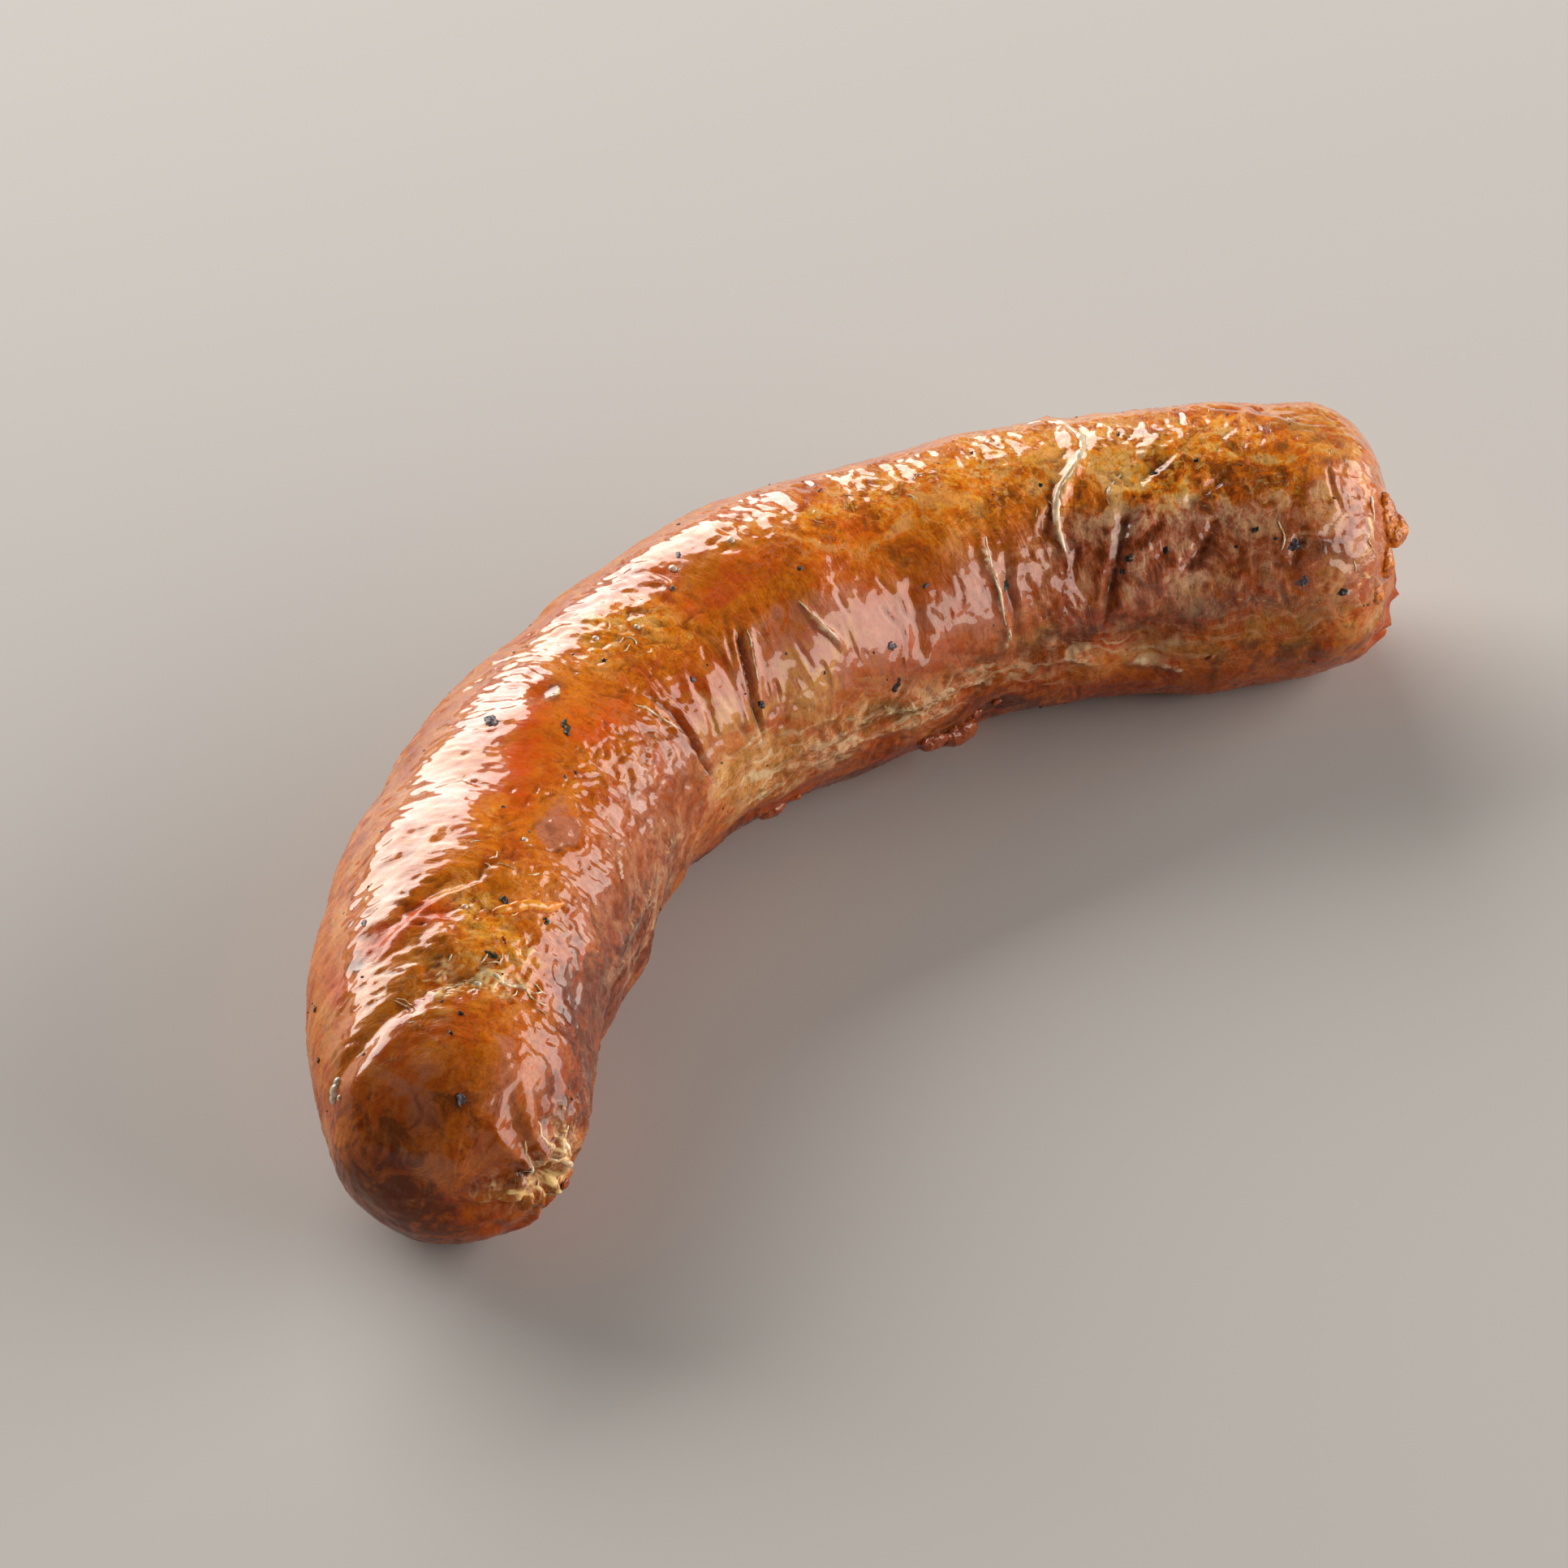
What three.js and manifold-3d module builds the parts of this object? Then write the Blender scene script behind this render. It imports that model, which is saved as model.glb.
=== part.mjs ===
// A grilled sausage in a natural casing, lying on its side on a flat surface.
// Millimetres and degrees. X runs from the near end to the far end, +Y is the outside of the bend, +Z is up.
// A place on the skin is given by `at`, the distance along the middle of the meat from the near tip,
// and by an angle round it: 0 is the outside of the bend, 90 the top, 180 the inside and 270 the underside.

import * as THREE from 'three';
import Module from 'manifold-3d';
import { mergeVertices } from 'three/addons/utils/BufferGeometryUtils.js';

// Driving dimensions: the length along the middle, the radius of the filled casing, the round ends,
// how far the soft underside is pressed flat, and the share of the radius that is left at the very tips
const CURVE_LENGTH = 202;
const BODY_RADIUS = 17.9;
const NEAR_CAP = { length: 20, fullness: 2.15 };
const FAR_CAP = { length: 14.6, fullness: 2.7 };
const PRESSED_FLAT = 0.9;
const TIP_SHARE = 0.02;

// The three places where the link turns, by how much, and over what length
const BENDS = [
  { at: 35, turn: 13.5, spread: 9 },
  { at: 93, turn: 48.5, spread: 23.5 },
  { at: 155, turn: 24, spread: 9 },
];

// Where the filling is thicker or thinner than the rest
const SWELLINGS = [
  { at: 14, rise: -1.6, spread: 12 },
  { at: 48, rise: 1.2, spread: 20 },
  { at: 72, rise: 0.6, spread: 10 },
  { at: 117, rise: 1.4, spread: 14 },
  { at: 140, rise: 0.4, spread: 8 },
];

// Gentle unevenness of the filling: waves of a length along the link and a number round it
const WAVES = [
  { rise: 0.22, along: 31, round: 2, shift: 40 },
  { rise: 0.2, along: 19, round: 3, shift: 155 },
  { rise: 0.14, along: 12.5, round: 5, shift: 290 },
];

// Creases and ridges of the casing: a path of [at, angle], how far the skin rises, and its half width
const HEAD_FOLD = {
  path: [[12.2, 16], [13, 45], [15, 62], [18.5, 80], [20.2, 97], [19.5, 140]],
  rise: -1.3,
  width: 1.3,
};
const SHOULDER_FOLD = {
  path: [[27, 56], [30, 70], [34.5, 88], [37, 100], [44, 119]],
  rise: -0.9,
  width: 1.1,
};
const THROAT_FOLD = { path: [[84.3, 120], [86, 135], [86.6, 150], [87.6, 172]], rise: -1.7, width: 1.5 };
const SLIT_FOLD = { path: [[105, 126], [103.3, 137], [101.7, 152], [101, 170]], rise: -1.9, width: 1.2 };
const BETWEEN_FOLD = { path: [[93.8, 131], [92.8, 144], [91.6, 157]], rise: -0.5, width: 0.9 };
const BELLY_CREASE = { path: [[132.2, 131], [131.5, 149], [130.4, 167]], rise: -0.5, width: 1.2 };
const STEP_CREASE = { path: [[147, 133], [145.4, 149], [145.2, 176]], rise: -0.8, width: 1.1 };
const FAR_CREASE = { path: [[167.5, 125], [164.6, 150], [162.8, 174]], rise: -1, width: 1.3 };
const FAR_DIAGONALS = [
  { path: [[181, 115], [174.5, 129]], rise: -0.6, width: 1 },
  { path: [[179, 136], [173.5, 154]], rise: -0.6, width: 1 },
  { path: [[189.5, 137], [187.6, 159]], rise: -0.5, width: 1 },
];
const WAVY_RIDGE = {
  path: [[161, 62], [162, 90], [162.4, 102], [158.6, 118], [156.4, 132], [157.2, 147]],
  rise: 0.75,
  width: 0.9,
};
const RIDGES = [
  WAVY_RIDGE,
  { path: [[115.4, 129], [116.6, 141], [119.4, 153]], rise: 0.5, width: 0.8 },
  { path: [[152, 186], [162, 191], [173, 203]], rise: 0.8, width: 1.2 },
  { path: [[20, 178], [30, 176], [44, 172], [58, 170]], rise: 0.45, width: 1.1 },
];
const HIDDEN_CREASES = [
  { path: [[24, -62], [22, -30], [19, -4]], rise: -0.8, width: 1.3 },
  { path: [[66, -66], [70, -38], [68, -12]], rise: -0.5, width: 1.2 },
  { path: [[118, -58], [121, -30], [118.5, 2]], rise: -0.6, width: 1.2 },
  { path: [[158, -48], [161, -14], [161, 28], [161, 62]], rise: 0.5, width: 1 },
  { path: [[182, -62], [178, -28], [179, 10]], rise: -0.6, width: 1.2 },
  { path: [[64, 214], [90, 208], [118, 213]], rise: -0.5, width: 1.3 },
];
const CREASES = [
  HEAD_FOLD, SHOULDER_FOLD, THROAT_FOLD, SLIT_FOLD, BETWEEN_FOLD, BELLY_CREASE, STEP_CREASE, FAR_CREASE,
  ...FAR_DIAGONALS, ...RIDGES, ...HIDDEN_CREASES,
];
// The skin swells a little beside a crease, and a crease grows shallow towards its ends
const LIP_SHARE = 0.22;
const LIP_OFFSET = 1.9;
const FADE_SHARE = 0.16;
const DEPTH_AT_ENDS = 0.25;

// Round lumps and dents of the skin: the last two sizes are half widths along and round the link
const LUMPS = [
  { at: 56, angle: 201, rise: 1.1, along: 4, round: 4.5 },
  { at: 36, angle: 191, rise: -1.1, along: 12, round: 8 },
  { at: 94.5, angle: 150, rise: 0.7, along: 5, round: 9 },
  { at: 47, angle: 148, rise: 0.5, along: 7, round: 5 },
  { at: 24, angle: 60, rise: 0.6, along: 5, round: 6 },
  { at: 75, angle: 92, rise: -0.7, along: 1.8, round: 1.2 },
  { at: 167, angle: 184, rise: -1, along: 4, round: 1.6 },
  { at: 98, angle: 190, rise: 0.5, along: 8, round: 5 },
  { at: 142.5, angle: 219, rise: -1.6, along: 4, round: 6 },
  { at: 177, angle: 234, rise: 0.8, along: 5, round: 6 },
  { at: 188, angle: 216, rise: -0.6, along: 5, round: 5 },
  { at: 193, angle: 72, rise: -1, along: 6, round: 7 },
];

// The gathered ends of the casing: a small hollow, a crumpled rim and folds that run out from it
const NEAR_PUCKER = {
  at: 4.8,
  angle: 190,
  hollow: 1.5,
  hollowRadius: 1.9,
  rim: 1.5,
  rimRadius: 3.6,
  folds: 8,
  foldRise: 0.5,
  reach: 12,
};
const FAR_PUCKER = {
  at: 200.8,
  angle: 240,
  hollow: 1,
  hollowRadius: 1.6,
  rim: 0.9,
  rimRadius: 3,
  folds: 7,
  foldRise: 0.35,
  reach: 9,
};
const PUCKERS = [NEAR_PUCKER, FAR_PUCKER];

// How far the gathers cut into a pucker's rim, how broad the rim is, and where the folds stand, as shares
const RIM_CUT = 0.35;
const RIM_BREADTH = 0.4;
const FOLD_PLACE = 0.6;
const FOLD_BREADTH = 0.35;

// Bits of filling that have burst through the casing: half lengths round, along and outwards, and the turn
const BURSTS = [
  { at: 201.2, angle: 130, size: [2.6, 2.4, 1.5], turn: 20 },
  { at: 201.5, angle: 143, size: [1.5, 1.7, 3.2], turn: 0 },
  { at: 200.6, angle: 164, size: [1.8, 1.4, 1.1], turn: -15 },
  { at: 199.2, angle: 184, size: [1.9, 1.3, 1], turn: 35 },
  { at: 137.4, angle: 222, size: [2.2, 3.2, 1.9], turn: 10 },
  { at: 133.8, angle: 219, size: [1.6, 2.2, 1.4], turn: -20 },
  { at: 107.5, angle: 222, size: [1.2, 2, 1.1], turn: 15 },
];

// Mesh sizes
const STATIONS = 123;
const AROUND = 40;
const SPINE_STEP = 0.25;
const PLACING_STEPS = 2000;
const SLOPE_STEP = 0.4;
const CROWDED = [
  { at: 18, spread: 13, weight: 1.3 },
  { at: 94, spread: 12, weight: 1.1 },
  { at: 161, spread: 8, weight: 0.6 },
  { at: 0, spread: 5, weight: 2.6 },
  { at: CURVE_LENGTH, spread: 6, weight: 2.4 },
];
const BURST_SIDES = [8, 5];

const radians = THREE.MathUtils.degToRad;

function bell(distance, width) {
  return Math.exp(-((distance / width) ** 2));
}

function angleBetween(first, second) {
  return ((((first - second) % 360) + 540) % 360) - 180;
}

// The middle line of the meat, as points with a heading, and its tip-to-tip chord laid along X
function makeSpine() {
  const points = [];
  const count = Math.round(CURVE_LENGTH / SPINE_STEP);
  let x = 0;
  let y = 0;
  for (let i = 0; i <= count; i += 1) {
    const at = i * SPINE_STEP;
    const heading = headingAt(at);
    points.push({ x, y, heading });
    const middle = radians(headingAt(at + SPINE_STEP / 2));
    x += Math.cos(middle) * SPINE_STEP;
    y += Math.sin(middle) * SPINE_STEP;
  }
  const last = points[count];
  const chord = Math.atan2(last.y, last.x);
  return points.map((point) => ({
    x: point.x * Math.cos(chord) + point.y * Math.sin(chord),
    y: point.y * Math.cos(chord) - point.x * Math.sin(chord),
    heading: radians(point.heading) - chord,
  }));
}

function headingAt(at) {
  let heading = 0;
  for (const bend of BENDS) {
    heading -= bend.turn * 0.5 * (1 + Math.tanh((at - bend.at) / bend.spread));
  }
  return heading;
}

const SPINE = makeSpine();

function spineAt(at) {
  const place = THREE.MathUtils.clamp(at, 0, CURVE_LENGTH) / SPINE_STEP;
  const index = Math.min(Math.floor(place), SPINE.length - 2);
  const share = place - index;
  const from = SPINE[index];
  const to = SPINE[index + 1];
  return {
    x: THREE.MathUtils.lerp(from.x, to.x, share),
    y: THREE.MathUtils.lerp(from.y, to.y, share),
    heading: THREE.MathUtils.lerp(from.heading, to.heading, share),
  };
}

// How thick the filling is without the round ends
function fillingRadius(at) {
  let radius = BODY_RADIUS;
  for (const swelling of SWELLINGS) {
    radius += swelling.rise * bell(at - swelling.at, swelling.spread);
  }
  return radius;
}

// A round end, from 0 at the tip to 1 where the body begins
function capShare(fromTip, cap) {
  const short = THREE.MathUtils.clamp(1 - fromTip / cap.length, 0, 1);
  return (1 - short ** cap.fullness) ** (1 / cap.fullness);
}

function endShare(at) {
  return capShare(at, NEAR_CAP) * capShare(CURVE_LENGTH - at, FAR_CAP);
}

// A point on the smooth link, before creases, lumps and bursts
function smoothPoint(at, angle) {
  const spine = spineAt(at);
  const radius = fillingRadius(at) * Math.max(endShare(at), TIP_SHARE);
  const inBody = THREE.MathUtils.clamp(at, NEAR_CAP.length, CURVE_LENGTH - FAR_CAP.length);
  const sideways = radius * Math.cos(radians(angle));
  return new THREE.Vector3(
    spine.x - sideways * Math.sin(spine.heading),
    spine.y + sideways * Math.cos(spine.heading),
    fillingRadius(inBody) - PRESSED_FLAT + radius * Math.sin(radians(angle)),
  );
}

// The directions along the skin, round it and outwards
function skinAxes(at, angle) {
  const from = THREE.MathUtils.clamp(at, SLOPE_STEP, CURVE_LENGTH - SLOPE_STEP);
  const along = smoothPoint(from + SLOPE_STEP, angle).sub(smoothPoint(from - SLOPE_STEP, angle)).normalize();
  const round = smoothPoint(from, angle + 1).sub(smoothPoint(from, angle - 1)).normalize();
  const out = new THREE.Vector3().crossVectors(round, along).normalize();
  return { along, round: new THREE.Vector3().crossVectors(along, out).normalize(), out };
}

// Nearest distance in millimetres from a place on the skin to a path, and how far along the path that is
function nearestOnPath(path, at, angle) {
  const millimetresPerDegree = radians(1) * fillingRadius(at) * Math.max(endShare(at), TIP_SHARE);
  const steps = path.slice(1).map((end, i) => ({ start: path[i], end }));
  const total = steps.length;
  let best = { distance: Infinity, share: 0 };
  steps.forEach(({ start, end }, i) => {
    const runAt = end[0] - start[0];
    const runRound = (end[1] - start[1]) * millimetresPerDegree;
    const toAt = at - start[0];
    const toRound = angleBetween(angle, start[1]) * millimetresPerDegree;
    const along = (toAt * runAt + toRound * runRound) / (runAt ** 2 + runRound ** 2);
    const t = THREE.MathUtils.clamp(along, 0, 1);
    const distance = Math.hypot(toAt - t * runAt, toRound - t * runRound);
    if (distance < best.distance) {
      best = { distance, share: (i + t) / total };
    }
  });
  return best;
}

function creaseRise(crease, at, angle) {
  const { distance, share } = nearestOnPath(crease.path, at, angle);
  const fullness = THREE.MathUtils.smoothstep(Math.min(share, 1 - share), 0, FADE_SHARE);
  const fade = THREE.MathUtils.lerp(DEPTH_AT_ENDS, 1, fullness);
  const lip = -LIP_SHARE * bell(distance - LIP_OFFSET * crease.width, crease.width);
  return crease.rise * fade * (bell(distance, crease.width) + lip);
}

function lumpRise(lump, at, angle) {
  const round = angleBetween(angle, lump.angle) * radians(1) * fillingRadius(at);
  return lump.rise * bell(at - lump.at, lump.along) * bell(round, lump.round);
}

function puckerRise(pucker, point) {
  const centre = smoothPoint(pucker.at, pucker.angle);
  const { along, round } = skinAxes(pucker.at, pucker.angle);
  const offset = point.clone().sub(centre);
  const distance = offset.length();
  const gathers = Math.cos(pucker.folds * Math.atan2(offset.dot(round), offset.dot(along)));
  const rimHeight = pucker.rim * (1 - RIM_CUT + RIM_CUT * gathers);
  const rim = rimHeight * bell(distance - pucker.rimRadius, pucker.rimRadius * RIM_BREADTH);
  const fromFolds = distance - pucker.reach * FOLD_PLACE;
  const folds = pucker.foldRise * gathers * bell(fromFolds, pucker.reach * FOLD_BREADTH);
  return rim + folds - pucker.hollow * bell(distance, pucker.hollowRadius);
}

function waveRise(at, angle) {
  let rise = 0;
  for (const wave of WAVES) {
    const phase = radians(wave.shift);
    rise += wave.rise * Math.sin((2 * Math.PI * at) / wave.along + phase)
      * Math.cos(radians(wave.round * angle) + at / wave.along + phase);
  }
  return rise;
}

// A point on the finished skin, with the underside pressed flat
function skinPoint(at, angle) {
  const smooth = smoothPoint(at, angle);
  let rise = waveRise(at, angle) * endShare(at);
  for (const crease of CREASES) {
    rise += creaseRise(crease, at, angle);
  }
  for (const lump of LUMPS) {
    rise += lumpRise(lump, at, angle);
  }
  for (const pucker of PUCKERS) {
    rise += puckerRise(pucker, smooth);
  }
  const skin = smooth.addScaledVector(skinAxes(at, angle).out, rise);
  skin.z = Math.max(skin.z, 0);
  return skin;
}

// Stations stand closer together where the casing is creased and at the round ends
function stationPlaces() {
  const closeness = (at) => 1 + CROWDED.reduce((sum, c) => sum + c.weight * bell(at - c.at, c.spread), 0);
  const step = CURVE_LENGTH / PLACING_STEPS;
  const sums = [0];
  for (let i = 0; i < PLACING_STEPS; i += 1) {
    sums.push(sums[i] + closeness((i + 0.5) * step));
  }
  const places = [];
  let i = 0;
  for (let station = 1; station < STATIONS; station += 1) {
    const wanted = (station / STATIONS) * sums[PLACING_STEPS];
    while (sums[i + 1] < wanted) {
      i += 1;
    }
    places.push((i + (wanted - sums[i]) / (sums[i + 1] - sums[i])) * step);
  }
  return places;
}

function tipPoint(at) {
  const tip = smoothPoint(at, 0);
  const opposite = smoothPoint(at, 180);
  return tip.add(opposite).multiplyScalar(0.5);
}

// The skin as one closed net: a fan at each tip and a grid of quads between them
function makeSkin() {
  const places = stationPlaces();
  const positions = [];
  const triangles = [];
  const addPoint = (point) => positions.push(point.x, point.y, point.z) / 3 - 1;
  const nearTip = addPoint(tipPoint(0));
  const rings = places.map((at) => (
    Array.from({ length: AROUND }, (_, side) => addPoint(skinPoint(at, (360 * side) / AROUND)))
  ));
  const farTip = addPoint(tipPoint(CURVE_LENGTH));
  for (let side = 0; side < AROUND; side += 1) {
    const next = (side + 1) % AROUND;
    triangles.push(nearTip, rings[0][next], rings[0][side]);
    for (let ring = 0; ring < rings.length - 1; ring += 1) {
      const here = rings[ring];
      const ahead = rings[ring + 1];
      triangles.push(here[side], ahead[next], ahead[side]);
      triangles.push(here[side], here[next], ahead[next]);
    }
    const last = rings[rings.length - 1];
    triangles.push(farTip, last[side], last[next]);
  }
  const geometry = new THREE.BufferGeometry();
  geometry.setAttribute('position', new THREE.Float32BufferAttribute(positions, 3));
  geometry.setIndex(triangles);
  return geometry;
}

// A bit of burst filling, sunk by half into the skin
function makeBurst(burst) {
  const { along, round, out } = skinAxes(burst.at, burst.angle);
  const geometry = new THREE.SphereGeometry(1, ...BURST_SIDES);
  geometry.scale(...burst.size);
  geometry.rotateZ(radians(burst.turn));
  geometry.applyMatrix4(new THREE.Matrix4().makeBasis(round, along, out));
  const centre = skinPoint(burst.at, burst.angle);
  geometry.translate(centre.x, centre.y, centre.z);
  return geometry;
}

const wasm = await Module();
wasm.setup();

function toSolid(geometry) {
  const bare = geometry.clone();
  bare.deleteAttribute('normal');
  bare.deleteAttribute('uv');
  const merged = mergeVertices(bare);
  return new wasm.Manifold(new wasm.Mesh({
    numProp: 3,
    vertProperties: new Float32Array(merged.attributes.position.array),
    triVerts: new Uint32Array(merged.index.array),
  }));
}

function toGeometry(solid) {
  const mesh = solid.getMesh();
  const geometry = new THREE.BufferGeometry();
  geometry.setAttribute('position', new THREE.Float32BufferAttribute(mesh.vertProperties, 3));
  geometry.setIndex(Array.from(mesh.triVerts));
  return geometry;
}

// The casing and the burst bits are one body of food
function makeSausage() {
  let solid = toSolid(makeSkin());
  for (const burst of BURSTS) {
    solid = solid.add(toSolid(makeBurst(burst)));
  }
  const geometry = toGeometry(solid);
  geometry.computeBoundingBox();
  const { min, max } = geometry.boundingBox;
  geometry.translate(-(min.x + max.x) / 2, -(min.y + max.y) / 2, -min.z);
  geometry.computeVertexNormals();
  const casing = new THREE.MeshStandardMaterial({ color: 0xb8662a, roughness: 0.3, metalness: 0 });
  const mesh = new THREE.Mesh(geometry, casing);
  mesh.name = 'sausage';
  return mesh;
}

const model = new THREE.Group();
model.add(makeSausage());

export default model;
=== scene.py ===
# %% [markdown]
# A grilled sausage in a natural casing
# The real thing is minced meat pressed into a wet, thin skin and grilled until the skin browns, wrinkles
# and splits a little. So the looks come in three layers: the form of the stuffed link, the creases and
# wrinkles of the skin, and the meat, fat and spice that show through it. Each layer is made on its own.
# Sizes are in millimetres and are turned into metres when a mesh is made. A place on the skin is given as
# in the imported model: `at` is the distance along the middle of the meat from the near tip, and the angle
# round the link is 0 on the outside of the bend, 90 on top, 180 on the inside and 270 underneath.

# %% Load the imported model
import math

import bmesh
import bpy
import numpy as np
from mathutils import Matrix, Vector


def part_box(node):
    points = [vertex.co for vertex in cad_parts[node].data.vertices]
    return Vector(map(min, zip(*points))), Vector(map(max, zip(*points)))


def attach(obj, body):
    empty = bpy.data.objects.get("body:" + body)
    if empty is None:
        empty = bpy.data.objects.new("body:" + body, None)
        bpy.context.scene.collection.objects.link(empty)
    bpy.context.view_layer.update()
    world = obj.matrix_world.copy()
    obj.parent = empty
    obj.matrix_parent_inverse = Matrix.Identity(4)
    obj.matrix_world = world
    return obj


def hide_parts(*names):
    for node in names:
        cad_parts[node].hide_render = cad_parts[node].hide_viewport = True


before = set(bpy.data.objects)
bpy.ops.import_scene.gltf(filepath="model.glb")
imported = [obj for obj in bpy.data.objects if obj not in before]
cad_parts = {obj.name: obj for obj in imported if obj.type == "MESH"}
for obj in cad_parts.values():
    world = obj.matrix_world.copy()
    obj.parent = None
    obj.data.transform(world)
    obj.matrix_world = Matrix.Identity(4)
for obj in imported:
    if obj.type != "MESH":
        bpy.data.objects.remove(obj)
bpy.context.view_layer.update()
node_low, node_high = (Vector(corner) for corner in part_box("sausage"))
MM = 0.001
print("packed sausage, mm:", [round((b - a) / MM, 1) for a, b in zip(node_low, node_high)])

# %% [markdown]
# The camera
# The photo was taken from a little over a metre and a half away, from above and from the near end's side.
# A camera could be placed by eye, but the photo's own place is known from the square board that the
# sausage lay on, so the camera stands there. A long lens then brings the sausage close without changing
# how its near end looms, because that depends only on where the camera stands.

# %% Camera
CAMERA_PLACE = Vector((-0.9477, -0.9042, 0.9701))
CAMERA_TARGET = Vector((0.0, -0.002, 0.014))
CAMERA_LEAN = math.radians(2.7)
LENS = 300.0


def make_camera():
    data = bpy.data.cameras.new("photo_camera")
    data.lens = LENS
    data.sensor_width = 36.0
    data.clip_start, data.clip_end = 0.1, 20.0
    camera = bpy.data.objects.new("photo_camera", data)
    bpy.context.scene.collection.objects.link(camera)
    aim = (CAMERA_TARGET - CAMERA_PLACE).to_track_quat("-Z", "Y").to_matrix().to_4x4()
    lean = Matrix.Rotation(-CAMERA_LEAN, 4, "Z")
    camera.matrix_world = Matrix.Translation(CAMERA_PLACE) @ aim @ lean
    bpy.context.scene.camera = camera


make_camera()
print("camera to target, m:", round((CAMERA_TARGET - CAMERA_PLACE).length, 3))

# %% [markdown]
# The form of the link
# A stuffed link bends where the casing is tighter on one side. Its middle line could be drawn as a curve by
# hand, but three soft turns say the same in three rows of numbers: each says where the link turns, by how
# many degrees and over what length. The radius is that of the filled casing, plus a few slow swellings.
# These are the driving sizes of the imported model, so the fine skin lands on the same form.

# %% Middle line and radius
CURVE_LENGTH = 202.0
BODY_RADIUS = 17.9
NEAR_CAP = (20.0, 2.15)
FAR_CAP = (14.6, 2.7)
PRESSED_FLAT = 0.9
TIP_SHARE = 0.02
BENDS = [(35, 13.5, 9), (93, 48.5, 23.5), (155, 24, 9)]
SWELLINGS = [(14, -1.6, 12), (48, 1.2, 20), (72, 0.6, 10), (117, 1.4, 14), (140, 0.4, 8)]
SPINE_STEP = 0.25


def bell(distance, width):
    return np.exp(-((distance / width) ** 2))


def eased(share):
    """A share from 0 to 1 with soft ends."""
    return share * share * (3 - 2 * share)


def heading(at):
    turned = sum(turn * 0.5 * (1 + np.tanh((at - place) / spread)) for place, turn, spread in BENDS)
    return -np.radians(turned)


spine_at = np.arange(0, CURVE_LENGTH + SPINE_STEP / 2, SPINE_STEP)
middles = heading(spine_at[:-1] + SPINE_STEP / 2)
spine_x = np.concatenate([[0], np.cumsum(np.cos(middles) * SPINE_STEP)])
spine_y = np.concatenate([[0], np.cumsum(np.sin(middles) * SPINE_STEP)])
chord = math.atan2(spine_y[-1], spine_x[-1])
spine_x, spine_y = (
    spine_x * math.cos(chord) + spine_y * math.sin(chord),
    spine_y * math.cos(chord) - spine_x * math.sin(chord),
)
spine_heading = heading(spine_at) - chord


def filling_radius(at):
    return BODY_RADIUS + sum(rise * bell(at - place, spread) for place, rise, spread in SWELLINGS)


def cap_share(from_tip, cap):
    length, fullness = cap
    short = np.clip(1 - from_tip / length, 0, 1)
    return (1 - short ** fullness) ** (1 / fullness)


def end_share(at):
    return cap_share(at, NEAR_CAP) * cap_share(CURVE_LENGTH - at, FAR_CAP)


def smooth_point(at, angle):
    """Points on the link before creases and lumps, in millimetres."""
    at, angle = np.broadcast_arrays(np.asarray(at, float), np.radians(np.asarray(angle, float)))
    inside = np.clip(at, 0, CURVE_LENGTH)
    turn = np.interp(inside, spine_at, spine_heading)
    radius = filling_radius(inside) * np.maximum(end_share(inside), TIP_SHARE)
    in_body = np.clip(inside, NEAR_CAP[0], CURVE_LENGTH - FAR_CAP[0])
    sideways = radius * np.cos(angle)
    return np.stack([
        np.interp(inside, spine_at, spine_x) - sideways * np.sin(turn),
        np.interp(inside, spine_at, spine_y) + sideways * np.cos(turn),
        filling_radius(in_body) - PRESSED_FLAT + radius * np.sin(angle),
    ], axis=-1)


print("tip to tip in a straight line, mm:", round(float(spine_x[-1]), 1))

# %% [markdown]
# Directions on the skin
# Relief is added along the outward direction of the skin, and small pieces are laid on it with their own
# along, round and outward directions. Both come from short steps on the smooth form.

# %% Skin directions
SLOPE_STEP = 0.4


def unit(vectors):
    return vectors / np.maximum(np.linalg.norm(vectors, axis=-1, keepdims=True), 1e-9)


def skin_axes(at, angle):
    place = np.clip(at, SLOPE_STEP, CURVE_LENGTH - SLOPE_STEP)
    along = unit(smooth_point(place + SLOPE_STEP, angle) - smooth_point(place - SLOPE_STEP, angle))
    round_it = unit(smooth_point(place, angle + 1) - smooth_point(place, angle - 1))
    out = unit(np.cross(round_it, along))
    return along, unit(np.cross(along, out)), out


def angle_between(first, second):
    return (first - second + 540.0) % 360.0 - 180.0


def round_mm(at, angle, centre):
    """How far round the skin an angle lies from a centre, in millimetres."""
    return angle_between(angle, centre) * math.pi / 180 * filling_radius(at)


def mm_per_degree(at):
    return math.pi / 180 * filling_radius(at) * np.maximum(end_share(at), TIP_SHARE)

# %% [markdown]
# Uneven edges
# Nothing on a cooked skin is ruled. A smooth random field in space, made from a small lattice of random
# numbers, shifts the creases and the edges of the colour patches a little. The seed is fixed, so every run
# gives the same sausage.

# %% Random field
LATTICE = 32


def waver(points, size, seed):
    """A smooth random value from -1 to 1 at each point, with bumps of about this size."""
    values = np.random.default_rng(seed).uniform(-1, 1, (LATTICE, LATTICE, LATTICE))
    scaled = points / size
    cell = np.floor(scaled).astype(int)
    share = eased(scaled - cell)
    total = np.zeros(points.shape[:-1])
    for corner in np.ndindex(2, 2, 2):
        weight = np.ones_like(total)
        for axis in range(3):
            weight = weight * (share[..., axis] if corner[axis] else 1 - share[..., axis])
        index = [(cell[..., axis] + corner[axis]) % LATTICE for axis in range(3)]
        total += weight * values[index[0], index[1], index[2]]
    return total

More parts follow.
